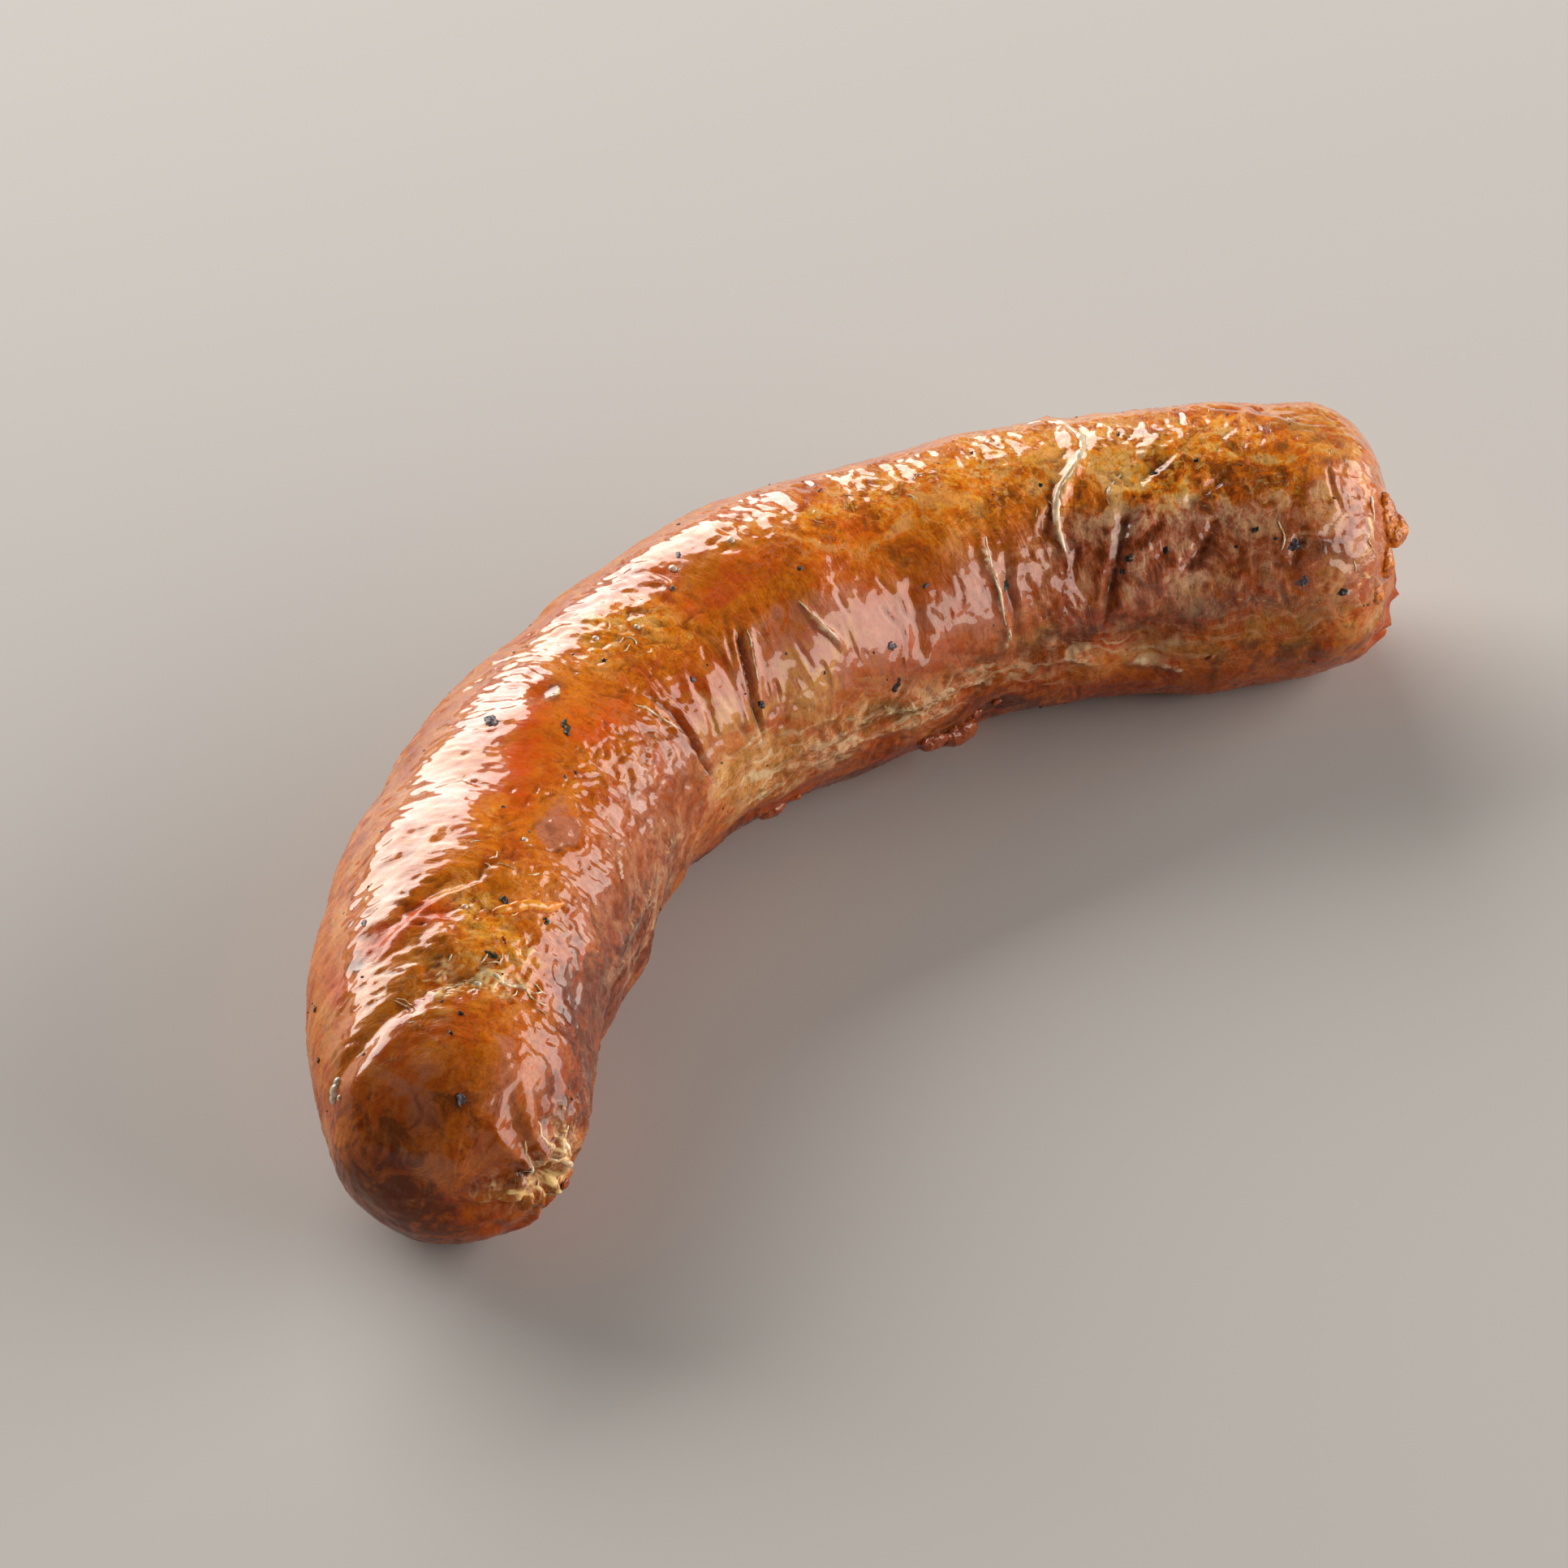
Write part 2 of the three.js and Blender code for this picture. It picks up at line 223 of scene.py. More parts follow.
# %% [markdown]
# Creases, ridges and lumps
# Where the link bends the casing is too long on the inside and folds up, and where it was twisted shut it
# is gathered. The large folds are a short list of paths, each with how far the skin rises and its half
# width. A path drawn on a texture would be faster, but then the outline and the highlights wouldn't break
# at the fold. Here the folds are real relief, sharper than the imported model's coarse faces can hold.

# %% Large folds
HEAD_FOLD = ([[12.6, 16], [13.6, 45], [15.6, 62], [18.8, 80], [20.4, 97], [19.5, 140]], -0.55, 1.9)
HEAD_LIP = ([[8.6, 20], [9.6, 45], [11.6, 62], [15, 80], [17, 97], [17, 128]], 0.1, 1.9)
SHOULDER_FOLD = ([[26.5, 56], [30, 70], [34.5, 88], [37, 100]], -0.5, 1.2)
SHOULDER_LIP = ([[25, 62], [28, 74], [32.3, 90], [34.8, 101], [41.5, 117]], 0.3, 0.8)
THROAT_FOLD = ([[84.3, 120], [86, 135], [86.6, 150], [87.6, 172]], -1.05, 0.75)
SLIT_FOLD = ([[105, 126], [103.3, 137], [101.7, 152], [101, 170]], -0.95, 0.42)
BETWEEN_FOLD = ([[93.8, 131], [92.8, 144], [91.6, 157]], -0.3, 0.8)
BELLY_CREASE = ([[132.2, 131], [131.5, 149], [130.4, 167]], -0.4, 1.2)
STEP_CREASE = ([[147, 133], [145.4, 149], [145.2, 176]], -0.7, 0.9)
FAR_CREASE = ([[167.5, 125], [164.6, 150], [162.8, 174]], -0.75, 1.0)
FAR_DIAGONALS = [
    ([[181, 115], [174.5, 129]], -0.5, 0.8),
    ([[179, 136], [173.5, 154]], -0.5, 0.8),
    ([[189.5, 137], [187.6, 159]], -0.4, 0.8),
    ([[176, 100], [168, 118]], -0.45, 0.8),
    ([[158, 122], [153, 134]], -0.4, 0.8),
]
WAVY_RIDGE = ([[161, 62], [162, 90], [162.4, 102], [158.6, 118], [156.4, 132], [157.2, 147]], 0.7, 0.9)
STEP_EDGE = ([[144.4, 122], [143.6, 140], [143.4, 160], [144, 176]], 0.35, 0.7)
SLIT_LIPS = [
    ([[107, 126], [105.2, 138], [103.5, 152], [102.6, 166]], 0.35, 0.7),
    ([[102.4, 122], [101, 137], [99.6, 152], [99, 166]], 0.3, 0.7),
]
THROAT_LIP = ([[81.6, 120], [83.6, 135], [84.4, 150], [85, 168]], 0.35, 0.9)
PALE_RIDGES = [
    WAVY_RIDGE, STEP_EDGE,
    ([[115.4, 129], [116.6, 141], [119.4, 153]], 0.45, 0.6),
    ([[151, 187], [157, 189], [161, 193]], 0.6, 0.8),
    ([[165, 194], [170, 199], [174, 205]], 0.5, 0.8),
    ([[104, 182], [118, 186], [133, 184], [146, 190]], 0.35, 0.7),
    ([[106, 192], [122, 194], [138, 193]], 0.35, 0.7),
]
PLAIN_RIDGES = [
    HEAD_LIP, SHOULDER_LIP, THROAT_LIP, *SLIT_LIPS,
    ([[20, 178], [30, 176], [44, 172], [58, 170]], 0.45, 1.1),
]
HIDDEN_CREASES = [
    ([[24, -62], [22, -30], [19, -4]], -0.8, 1.3),
    ([[66, -66], [70, -38], [68, -12]], -0.5, 1.2),
    ([[118, -58], [121, -30], [118.5, 2]], -0.6, 1.2),
    ([[158, -48], [161, -14], [161, 28], [161, 62]], 0.5, 1.0),
    ([[182, -62], [178, -28], [179, 10]], -0.6, 1.2),
    ([[64, 214], [90, 208], [118, 213]], -0.5, 1.3),
]
GROOVES = [
    HEAD_FOLD, SHOULDER_FOLD, THROAT_FOLD, SLIT_FOLD, BETWEEN_FOLD, BELLY_CREASE, STEP_CREASE, FAR_CREASE,
]
# The soft folds get only a light painted shade.
SOFT_FOLDS, SOFT_FOLD_SHADE = [HEAD_FOLD, SHOULDER_FOLD], 0.3
CREASES = GROOVES + FAR_DIAGONALS + PALE_RIDGES + PLAIN_RIDGES + HIDDEN_CREASES
print("creases and ridges:", len(CREASES))

# %% Relief of a crease
# The skin swells a little beside a crease, a crease grows shallow towards its ends, and its bottom is sharp
LIP_SHARE, LIP_OFFSET = 0.22, 1.9
FADE_SHARE, DEPTH_AT_ENDS = 0.16, 0.25
SHARP_SHARE, SHARP_WIDTH = 0.35, 0.3
SIDE_WOBBLE, DEPTH_WOBBLE = 0.45, 0.25


def nearest_on_path(path, at, angle):
    """The distance in millimetres to a path on the skin, and the share of the path passed there."""
    scale = mm_per_degree(at)
    best, share = np.full(at.shape, 1e9), np.zeros(at.shape)
    for number, (start, end) in enumerate(zip(path, path[1:])):
        run_at, run_round = end[0] - start[0], (end[1] - start[1]) * scale
        to_at, to_round = at - start[0], angle_between(angle, start[1]) * scale
        passed = np.clip((to_at * run_at + to_round * run_round) / (run_at**2 + run_round**2), 0, 1)
        distance = np.hypot(to_at - passed * run_at, to_round - passed * run_round)
        nearer = distance < best
        best = np.where(nearer, distance, best)
        share = np.where(nearer, (number + passed) / (len(path) - 1), share)
    return best, share


def crease_rise(crease, at, angle, wobble):
    """Relief of one crease, and how strongly it marks the skin from 0 to 1."""
    path, rise, width = crease
    distance, share = nearest_on_path(path, at, angle)
    distance = np.abs(distance + SIDE_WOBBLE * wobble[0] * width)
    from_end = np.clip(np.minimum(share, 1 - share) / FADE_SHARE, 0, 1)
    fade = DEPTH_AT_ENDS + (1 - DEPTH_AT_ENDS) * eased(from_end)
    fade = fade * (1 + DEPTH_WOBBLE * wobble[1])
    lip = -LIP_SHARE * bell(distance - LIP_OFFSET * width, width)
    body = (1 - SHARP_SHARE) * bell(distance, width)
    sharp = SHARP_SHARE * np.exp(-distance / (SHARP_WIDTH * width))
    return rise * fade * (body + sharp + lip), fade * bell(distance, width)

# %% Lumps, loose flakes, gathered ends and slow waves
LUMPS = [
    # at, angle, rise, half width along and round the link
    (56, 201, 1.1, 4, 4.5), (36, 191, -1.1, 12, 8), (94.5, 150, 0.7, 5, 9), (47, 148, 0.5, 7, 5),
    (24, 60, 0.6, 5, 6), (75, 92, -0.7, 1.8, 1.2), (167, 184, -1.0, 4, 1.6), (98, 190, 0.5, 8, 5),
    (142.5, 219, -1.6, 4, 6), (177, 234, 0.8, 5, 6), (188, 216, -0.6, 5, 5), (193, 72, -1.0, 6, 7),
]
FLAKES = [
    # at, angle, half length, half width round the link, rise: a loose scale of skin with a steep edge
    (50, 126.5, 3.4, 2.8, 0.5), (61, 137, 3.4, 2.6, 0.25), (72, 141, 4.2, 3.0, 0.22),
    (39, 133, 2.6, 2.0, 0.25), (155, 160, 4.5, 3.5, 0.25), (172, 150, 4.5, 3.4, 0.25),
    (26, 88, 3.0, 2.4, 0.3), (22, 70, 2.8, 2.6, 0.3), (97, 144, 2.6, 4.2, 0.22),
    (184, 166, 4.0, 3.0, 0.25), (168, 120, 3.0, 2.2, 0.3), (44, 58, 4.5, 3.0, 0.22),
]
FLAKE_EDGE, FLAKE_RAGGED = 0.07, 0.35
NEAR_PUCKER = dict(at=3.6, angle=185, hollow=1.9, hollow_radius=1.5, rim=1.4, rim_radius=3.3, folds=8,
                   fold_rise=0.5, reach=12)
FAR_PUCKER = dict(at=200.8, angle=240, hollow=1.0, hollow_radius=1.6, rim=0.9, rim_radius=3.0, folds=7,
                  fold_rise=0.35, reach=9)
RIM_CUT, RIM_BREADTH, FOLD_PLACE, FOLD_BREADTH = 0.35, 0.4, 0.6, 0.35
GATHER_WOBBLE, MARK_REACH = 0.35, 1.5
WAVES = [(0.22, 31, 2, 40), (0.2, 19, 3, 155), (0.14, 12.5, 5, 290)]
print("lumps:", len(LUMPS), "flakes:", len(FLAKES))

# %% Relief of flakes, lumps, gathered ends and waves
def flake_rise(flake, at, angle, smooth):
    place, flake_angle, half_length, half_width, rise = flake
    reach = np.hypot((at - place) / half_length, round_mm(at, angle, flake_angle) / half_width)
    reach = reach + FLAKE_RAGGED * waver(smooth, 2.2, 61)
    return rise / (1 + np.exp(np.clip((reach - 1) / FLAKE_EDGE, -40, 40)))


def lump_rise(lump, at, angle):
    place, lump_angle, rise, half_along, half_round = lump
    return rise * bell(at - place, half_along) * bell(round_mm(at, angle, lump_angle), half_round)


def pucker_rise(pucker, points, wobble):
    """Relief of a gathered end, and how strongly it marks the skin from 0 to 1."""
    centre = smooth_point(pucker["at"], pucker["angle"])
    along, round_it, _ = skin_axes(np.float64(pucker["at"]), np.float64(pucker["angle"]))
    offset = points - centre
    distance = np.linalg.norm(offset, axis=-1)
    turn = np.arctan2(offset @ round_it, offset @ along) + GATHER_WOBBLE * wobble[0]
    gathers = np.cos(pucker["folds"] * turn)
    rim = pucker["rim"] * (1 - RIM_CUT + RIM_CUT * gathers)
    rim = rim * bell(distance - pucker["rim_radius"], pucker["rim_radius"] * RIM_BREADTH)
    from_folds = distance - pucker["reach"] * FOLD_PLACE
    folds = pucker["fold_rise"] * gathers * bell(from_folds, pucker["reach"] * FOLD_BREADTH)
    mark = bell(distance, pucker["rim_radius"] * MARK_REACH)
    return rim + folds - pucker["hollow"] * bell(distance, pucker["hollow_radius"]), mark


def wave_rise(at, angle):
    total = np.zeros(at.shape)
    for rise, length, number, shift in WAVES:
        phase = math.radians(shift)
        swing = np.sin(2 * math.pi * at / length + phase)
        total += rise * swing * np.cos(np.radians(number * angle) + at / length + phase)
    return total

# %% [markdown]
# The quilted skin
# A film that has shrunk over meat stands in small soft cushions with narrow creases between them. A folded
# random field gives that: its zero lines become the creases. The cushions are stretched across the link on
# its back, where the film sagged when it cooled, and along it where the inside of the bend is gathered.
# Each region has a strength of its own, because the tight parts of the skin stay smooth.

# %% Cushions and where the skin is tight
CALM = [
    (8, 60, 10, 45, 0.9), (58, 98, 16, 16, 0.85), (108, 106, 9, 12, 0.7), (50, 126, 5, 8, 0.6),
    (136, 106, 9, 14, 0.4), (112, 146, 34, 18, 0.9), (110, -30, 90, 40, 0.5), (8, 150, 7, 20, 0.5),
    (46, 62, 28, 20, 0.72), (78, 68, 20, 12, 0.35),
]
LENGTHWISE = [
    (50, 172, 26, 14, 0.95), (125, 186, 30, 14, 0.95), (166, 192, 20, 12, 0.8), (98, 182, 10, 12, 0.7),
    (48, 112, 14, 8, 0.8), (4, 150, 8, 60, 0.8), (198, 150, 8, 90, 0.8), (100, 225, 90, 22, 0.8),
]
RUFFLED = [
    (21, 110, 3.2, 24, 1.0), (5, 192, 5, 22, 1.0), (92, 98, 9, 14, 0.9), (30, 100, 8, 14, 0.6),
    (86, 158, 5, 16, 0.7), (128, 92, 14, 14, 0.5), (175, 118, 14, 26, 0.6), (48, 66, 26, 14, 0.22),
    (24, 72, 8, 18, 0.5), (120, 190, 30, 9, 0.6), (165, 188, 14, 10, 0.8), (78, 142, 8, 16, 0.6),
    (199, 150, 5, 60, 0.6), (152, 104, 10, 20, 0.5),
]
CUSHION_RISE, RUFFLE_RISE = 0.3, 0.5
CREASE_SHARPNESS = 5
CUSHION_CALM, RUFFLE_CALM = 0.85, 0.8
PLAIN_CUSHION, RUFFLED_CUSHION = 0.5, 0.8
DENT_RISE, SMALL_DENT_RISE = 0.16, 0.1
# Lengths along and round the link, a share of the relief and a seed, for broad and for small cushions
ACROSS_CUSHIONS = [((3.4, 8.0), 0.6, 41), ((1.9, 4.2), 0.4, 43)]
ALONG_CUSHIONS = [((9.0, 3.0), 0.6, 45), ((5.0, 1.7), 0.4, 47)]


def patch_mask(patches, at, angle, shift_at=0.0, shift_angle=0.0):
    """Soft patches joined into one mask: each has a place, an angle, half sizes and a strength."""
    clear = np.ones(at.shape)
    for place, patch_angle, half_along, half_angle, strength in patches:
        along = bell(at + shift_at - place, half_along)
        across = bell(angle_between(angle + shift_angle, patch_angle), half_angle)
        clear *= 1 - strength * along * across
    return 1 - clear


def cushions(at, angle, smooth, sizes, seed):
    """0 on a cushion and up to 1 in the narrow creases between cushions."""
    bend = 0.35 * waver(smooth, 6.0, seed + 1)
    round_it = np.radians(angle) * BODY_RADIUS
    grid = np.stack([at / sizes[0] + bend, round_it / sizes[1] + bend, np.full(at.shape, 0.5)], -1)
    return (1 - np.abs(waver(grid, 1.0, seed))) ** CREASE_SHARPNESS


def cushion_rise(at, angle, smooth):
    calm = patch_mask(CALM, at, angle)
    lengthwise = patch_mask(LENGTHWISE, at, angle)
    ruffled = patch_mask(RUFFLED, at, angle)
    across, along = (
        sum(share * cushions(at, angle, smooth, sizes, seed) for sizes, share, seed in kinds)
        for kinds in (ACROSS_CUSHIONS, ALONG_CUSHIONS)
    )
    crease = across * (1 - lengthwise) + along * lengthwise
    small = waver(smooth, 1.5, 49) * 0.5 + waver(smooth, 2.6, 50) * 0.5
    strength = (1 - CUSHION_CALM * calm) * (PLAIN_CUSHION + RUFFLED_CUSHION * ruffled)
    rise = -CUSHION_RISE * crease * strength
    rise += RUFFLE_RISE * ruffled * small * (1 - RUFFLE_CALM * calm)
    rise += DENT_RISE * waver(smooth, 6.5, 51)
    return rise + SMALL_DENT_RISE * waver(smooth, 3.6, 52) * (1 - calm)

# %% [markdown]
# The skin as a net
# The skin is one closed net of quads with a fan at each tip. A sphere that is stretched and bent would do
# for a smooth sausage, but here each corner of the net knows its place along and round the link, and
# that is what the folds, the wrinkles and the colours below are laid out by. The net is finer on the top
# and on the inside of the bend, where the casing is most wrinkled, and starts under the sausage, so the
# seam of its pattern space lies on the surface that the sausage rests on.

# %% Build the skin
STATIONS = 560
AROUND = 176
SEAM_ANGLE = -90.0
FINE_ANGLE = 118.0
FINE_PULL = 26.0
EVEN_SHARE = 0.86
PATH_WANDER, WANDER_SIZE, PUCKER_MARK = 0.6, 4.5, 0.6


def ring_angles():
    even = SEAM_ANGLE + np.arange(AROUND) / AROUND * 360.0
    pull = np.sin(np.radians(SEAM_ANGLE - FINE_ANGLE)) - np.sin(np.radians(even - FINE_ANGLE))
    return even + FINE_PULL * pull


def station_places():
    even = np.linspace(0, 1, STATIONS + 2)[1:-1]
    crowded = 0.5 - 0.5 * np.cos(math.pi * even)
    return CURVE_LENGTH * (EVEN_SHARE * even + (1 - EVEN_SHARE) * crowded)

# %% Relief of the whole skin
def skin_relief(at, angle, smooth):
    wobble = (waver(smooth, 3.2, 11), waver(smooth, 5.0, 12))
    shifted_at = at + PATH_WANDER * waver(smooth, WANDER_SIZE, 13)
    wander_round = PATH_WANDER * waver(smooth, WANDER_SIZE, 14)
    shifted_angle = angle + wander_round / np.maximum(mm_per_degree(at), 0.05)
    rise = (wave_rise(at, angle) + cushion_rise(at, angle, smooth)) * end_share(at)
    groove_mark, ridge_mark = np.zeros(at.shape), np.zeros(at.shape)
    for crease in CREASES:
        height, mark = crease_rise(crease, shifted_at, shifted_angle, wobble)
        rise += height
        # A groove is also marked to be painted darker by its depth: painted shade in the fold.
        if crease[1] < 0:
            darkness = SOFT_FOLD_SHADE if crease in SOFT_FOLDS else min(1, -crease[1])
            groove_mark = np.maximum(groove_mark, mark * darkness)
        elif crease in PALE_RIDGES:
            ridge_mark = np.maximum(ridge_mark, mark)
    for flake in FLAKES:
        rise += flake_rise(flake, at, angle, smooth)
    for lump in LUMPS:
        rise += lump_rise(lump, at, angle)
    for pucker in (NEAR_PUCKER, FAR_PUCKER):
        height, mark = pucker_rise(pucker, smooth, wobble)
        rise += height
        ridge_mark = np.maximum(ridge_mark, PUCKER_MARK * mark)
    return rise, groove_mark, ridge_mark

# %% Net of the skin
def make_net(name, rings, near_tip, far_tip):
    """A closed mesh from a grid of points and two tips, with outward faces."""
    stations, around = rings.shape[:2]
    points = np.concatenate([rings.reshape(-1, 3), [near_tip], [far_tip]]) * MM
    grid = np.arange(stations * around).reshape(stations, around)
    here, ahead = grid[:-1], grid[1:]
    quads = np.stack([here, np.roll(here, -1, 1), np.roll(ahead, -1, 1), ahead], -1).reshape(-1, 4)
    tip = stations * around
    near_fan = [(tip, b, a) for a, b in zip(grid[0], np.roll(grid[0], -1))]
    far_fan = [(tip + 1, a, b) for a, b in zip(grid[-1], np.roll(grid[-1], -1))]
    mesh = bpy.data.meshes.new(name)
    mesh.from_pydata(points.tolist(), [], quads.tolist() + near_fan + far_fan)
    mesh.shade_smooth()
    return mesh


def add_values(mesh, name, values):
    layer = mesh.attributes.new(name, "FLOAT", "POINT")
    layer.data.foreach_set("value", np.asarray(values, np.float32).ravel())


station_at, ring_angle = np.meshgrid(station_places(), ring_angles(), indexing="ij")
smooth = smooth_point(station_at, ring_angle)
relief, groove_mark, ridge_mark = skin_relief(station_at, ring_angle, smooth)
skin_points = smooth + skin_axes(station_at, ring_angle)[2] * relief[..., None]
skin_points[..., 2] = np.maximum(skin_points[..., 2], 0)
tips = [0.5 * (smooth_point(at, 0.0) + smooth_point(at, 180.0)) for at in (0.0, CURVE_LENGTH)]
middle = 0.5 * (skin_points.min((0, 1)) + skin_points.max((0, 1)))
frame_shift = np.array([
    (node_low.x + node_high.x) / 2 / MM - middle[0],
    (node_low.y + node_high.y) / 2 / MM - middle[1],
    0.0,
])
skin_points += frame_shift
tips = [tip + frame_shift for tip in tips]
casing_mesh = make_net("casing", skin_points, *tips)
print("skin faces:", len(casing_mesh.polygons), "shift to the packed model, mm:", frame_shift.round(2))

# %% Places on the finished skin
def on_skin(at, angle, lift=0.0):
    """Points on the finished skin, in millimetres, for a row of places."""
    start = smooth_point(at, angle)
    rise = skin_relief(at, angle, start)[0] + lift
    return start + skin_axes(at, angle)[2] * rise[:, None] + frame_shift


def skin_place(at, angle):
    """A point on the finished skin and its along, round and outward directions."""
    at, angle = np.array([float(at)]), np.array([float(angle)])
    along, round_it, out = skin_axes(at, angle)
    return on_skin(at, angle)[0], along[0], round_it[0], out[0]

# %% [markdown]
# What the shader is told
# A cooked skin isn't one colour. Fat shows amber, blood meat shows red, browned patches are umber, and
# where the casing stands off the meat it looks pale. Painting that by hand is a texture's job. Here each
# tone has a short list of soft patches: at, angle, half length, half angle and strength. The shader
# breaks up their edges. Some tones also carry painted light: the long umber patches low on the underside
# are painted shade, the rose patches on the inside of the bend are partly a painted reflection of the
# right-hand window, and some pale patches on the top of the far half are painted highlights.

# %% Tone patches
AMBER = [
    (30, 104, 8, 14, 0.95), (26, 118, 6, 8, 0.8), (44, 94, 12, 12, 0.5), (92, 98, 8, 15, 0.95),
    (97, 118, 5, 6, 0.6), (128, 92, 14, 14, 0.7), (150, 90, 15, 18, 0.85), (173, 100, 14, 20, 0.95),
    (146, 116, 10, 10, 0.6), (172, 122, 10, 8, 0.5), (20, 58, 5, 14, 0.6),
    (160, 66, 20, 16, 0.6), (88, 178, 6, 7, 0.7), (106, 150, 3, 10, 0.3),
    (190, 128, 7, 12, 0.6), (150, -10, 40, 35, 0.55), (75, -15, 25, 30, 0.4),
    (172, 178, 14, 7, 0.5), (83, 128, 3, 8, 0.6), (186, 92, 6, 10, 0.5),
]
# Rose is partly the meat's own pinkish tone and partly a painted reflection of the right-hand window on the
# inside of the bend.
ROSE_AND_SHEEN = [
    (5, 62, 5, 22, 0.55), (9, 128, 7, 12, 0.6), (50, 126, 4.5, 7, 0.95), (118, 140, 14, 13, 0.8),
    (142, 148, 8, 14, 0.75), (172, 152, 9, 13, 0.85), (196, 108, 5, 40, 0.75), (188, 150, 6, 10, 0.6),
    (37, 141, 8, 11, 0.6), (68, 150, 16, 13, 0.6), (120, 154, 24, 12, 0.7), (97, 146, 5, 12, 0.7),
    (196, 166, 6, 20, 0.5), (190, 0, 12, 40, 0.5), (45, 62, 16, 12, 0.3), (176, 128, 7, 6, 0.5),
]
MOTTLED = [
    (174, 122, 28, 55, 1.0), (130, 95, 14, 20, 0.85), (92, 96, 8, 14, 0.8), (30, 104, 8, 16, 0.8),
    (122, 186, 30, 14, 0.9), (60, 184, 24, 12, 0.6), (6, 180, 8, 30, 0.7), (110, -30, 60, 30, 0.6),
    (56, 166, 28, 17, 0.8), (56, 34, 44, 16, 0.5),
]
# Umber is partly browning and partly painted shade: the long patches low on the underside darken it where
# light doesn't reach.
UMBER_AND_SHADE = [
    (3, -20, 10, 80, 0.75), (8, 165, 8, 22, 0.5), (38, 178, 24, 16, 0.9), (34, 152, 10, 8, 0.4),
    (26, 158, 13, 22, 0.8), (56, 194, 30, 12, 0.7), (158, 136, 4, 8, 0.7), (150, 178, 24, 8, 0.6),
    (184, 108, 6, 8, 0.35), (140, 208, 12, 10, 0.9), (100, 222, 70, 14, 0.7),
    (24, 107, 2.4, 5, 0.95), (134, 120, 12, 6, 0.3), (4, 100, 4, 26, 0.4), (184, 202, 16, 12, 0.5),
    (100, -75, 80, 22, 0.6), (168, 130, 4, 9, 0.6), (150, 118, 6, 6, 0.6), (178, 172, 14, 8, 0.5),
    (192, 144, 4, 8, 0.4), (74, 93, 3, 5, 0.6), (26, 55, 1.6, 5, 0.8),
]
TAN = [
    (98, 178, 19, 20, 0.85), (124, 186, 22, 12, 0.75), (190, 188, 14, 18, 0.55), (93, 150, 6, 12, 0.5),
    (112, 152, 12, 14, 0.6), (165, 193, 12, 8, 0.55),
    (6, 190, 6, 20, 0.85), (194, 88, 6, 36, 0.6), (24, 126, 5, 12, 0.6), (20, 86, 5, 12, 0.6),
    (178, 160, 12, 12, 0.4), (150, 172, 8, 6, 0.6), (194, 160, 5, 12, 0.6),
]
WEDGE = [(28.5, 65, 2.6, 8, 1.0), (32, 80, 2.8, 9, 1.0), (36, 94, 2.6, 8, 0.9)]
RED = [
    (108, 108, 11, 13, 0.6), (56, 100, 11, 13, 0.7), (76, 116, 11, 9, 0.6), (144, 104, 6, 9, 0.7),
    *WEDGE, (128, 108, 8, 9, 0.5), (48, 34, 18, 10, 0.4), (66, 92, 8, 9, 0.4),
    (90, -30, 40, 25, 0.35), (98, 80, 8, 10, 0.5), (120, 72, 8, 9, 0.5), (24, 40, 6, 10, 0.5),
]
STREAKY = [
    (100, 178, 14, 16, 0.8), (126, 187, 24, 11, 0.85), (160, 190, 18, 10, 0.6), (60, 182, 22, 12, 0.5),
    (188, 184, 12, 12, 0.4),
]
# Loose film is pale; some patches on the top of the far half are painted highlights as well.
LOOSE_AND_HIGHLIGHT = [
    (20.5, 110, 2.8, 26, 1.0), (22, 90, 4, 6, 0.9), (98, 184, 5, 6, 0.8), (5, 186, 4.2, 24, 1.0),
    (16, 76, 4, 10, 0.7), (26, 122, 3, 8, 0.7),
    (60, 172, 22, 3, 0.6), (128, 186, 24, 5, 0.5), (162, 193, 13, 5, 0.25), (198.5, 150, 2.2, 60, 0.7),
    (173, 90, 2.5, 8, 0.7), (133, 88, 5, 7, 0.6), (152, 78, 6, 9, 0.45), (118, 100, 6, 8, 0.4),
    (88, 164, 4, 5, 0.5), (142, 74, 6, 9, 0.5), (120, -20, 30, 8, 0.3), (30, 110, 6, 7, 0.25),
    (92, 92, 6, 9, 0.6), (166, 112, 3, 7, 0.3), (184, 118, 4, 5, 0.5), (187, 140, 2, 8, 0.5),
    (158, 166, 8, 5, 0.5), (114, 176, 8, 4, 0.5), (184, 170, 8, 5, 0.4), (72, 138, 14, 18, 0.38),
    (36, 128, 8, 14, 0.35), (30, 66, 12, 12, 0.3), (12, 168, 8, 14, 0.5),
]
tones = dict(amber=AMBER, rose_and_sheen=ROSE_AND_SHEEN, umber_and_shade=UMBER_AND_SHADE, tan=TAN, red=RED, loose=LOOSE_AND_HIGHLIGHT, mottled=MOTTLED,
             streaky=STREAKY)
print("patches of each tone:", {name: len(patches) for name, patches in tones.items()})

# %% Values for the shader
HEAD_SHADE, HEAD_LENGTH = 0.9, 11.0
SHADE_INSIDE, SHADE_OUTSIDE = (116, 34), (20, 50)
INSIDE_EDGE, INSIDE_WAVER, INSIDE_BLUR = 129, 6, 14
DRY_SIDES, DRY_WEDGE = 0.85, 0.8
DRY_HEAD = [(8, 152, 9, 30, 0.45)]
LOW_EDGE, LOW_EDGE_FAR, LOW_BLUR = 32, 54, 24
EDGE_GROWS_FROM, EDGE_GROWS_OVER = 50, 40
LOW_INSIDE, LOW_INSIDE_BLUR, LOWEST_OUTSIDE = 174, 14, -60
SHARE_BEFORE_CAP, CAP_BLUR = 0.45, 0.35
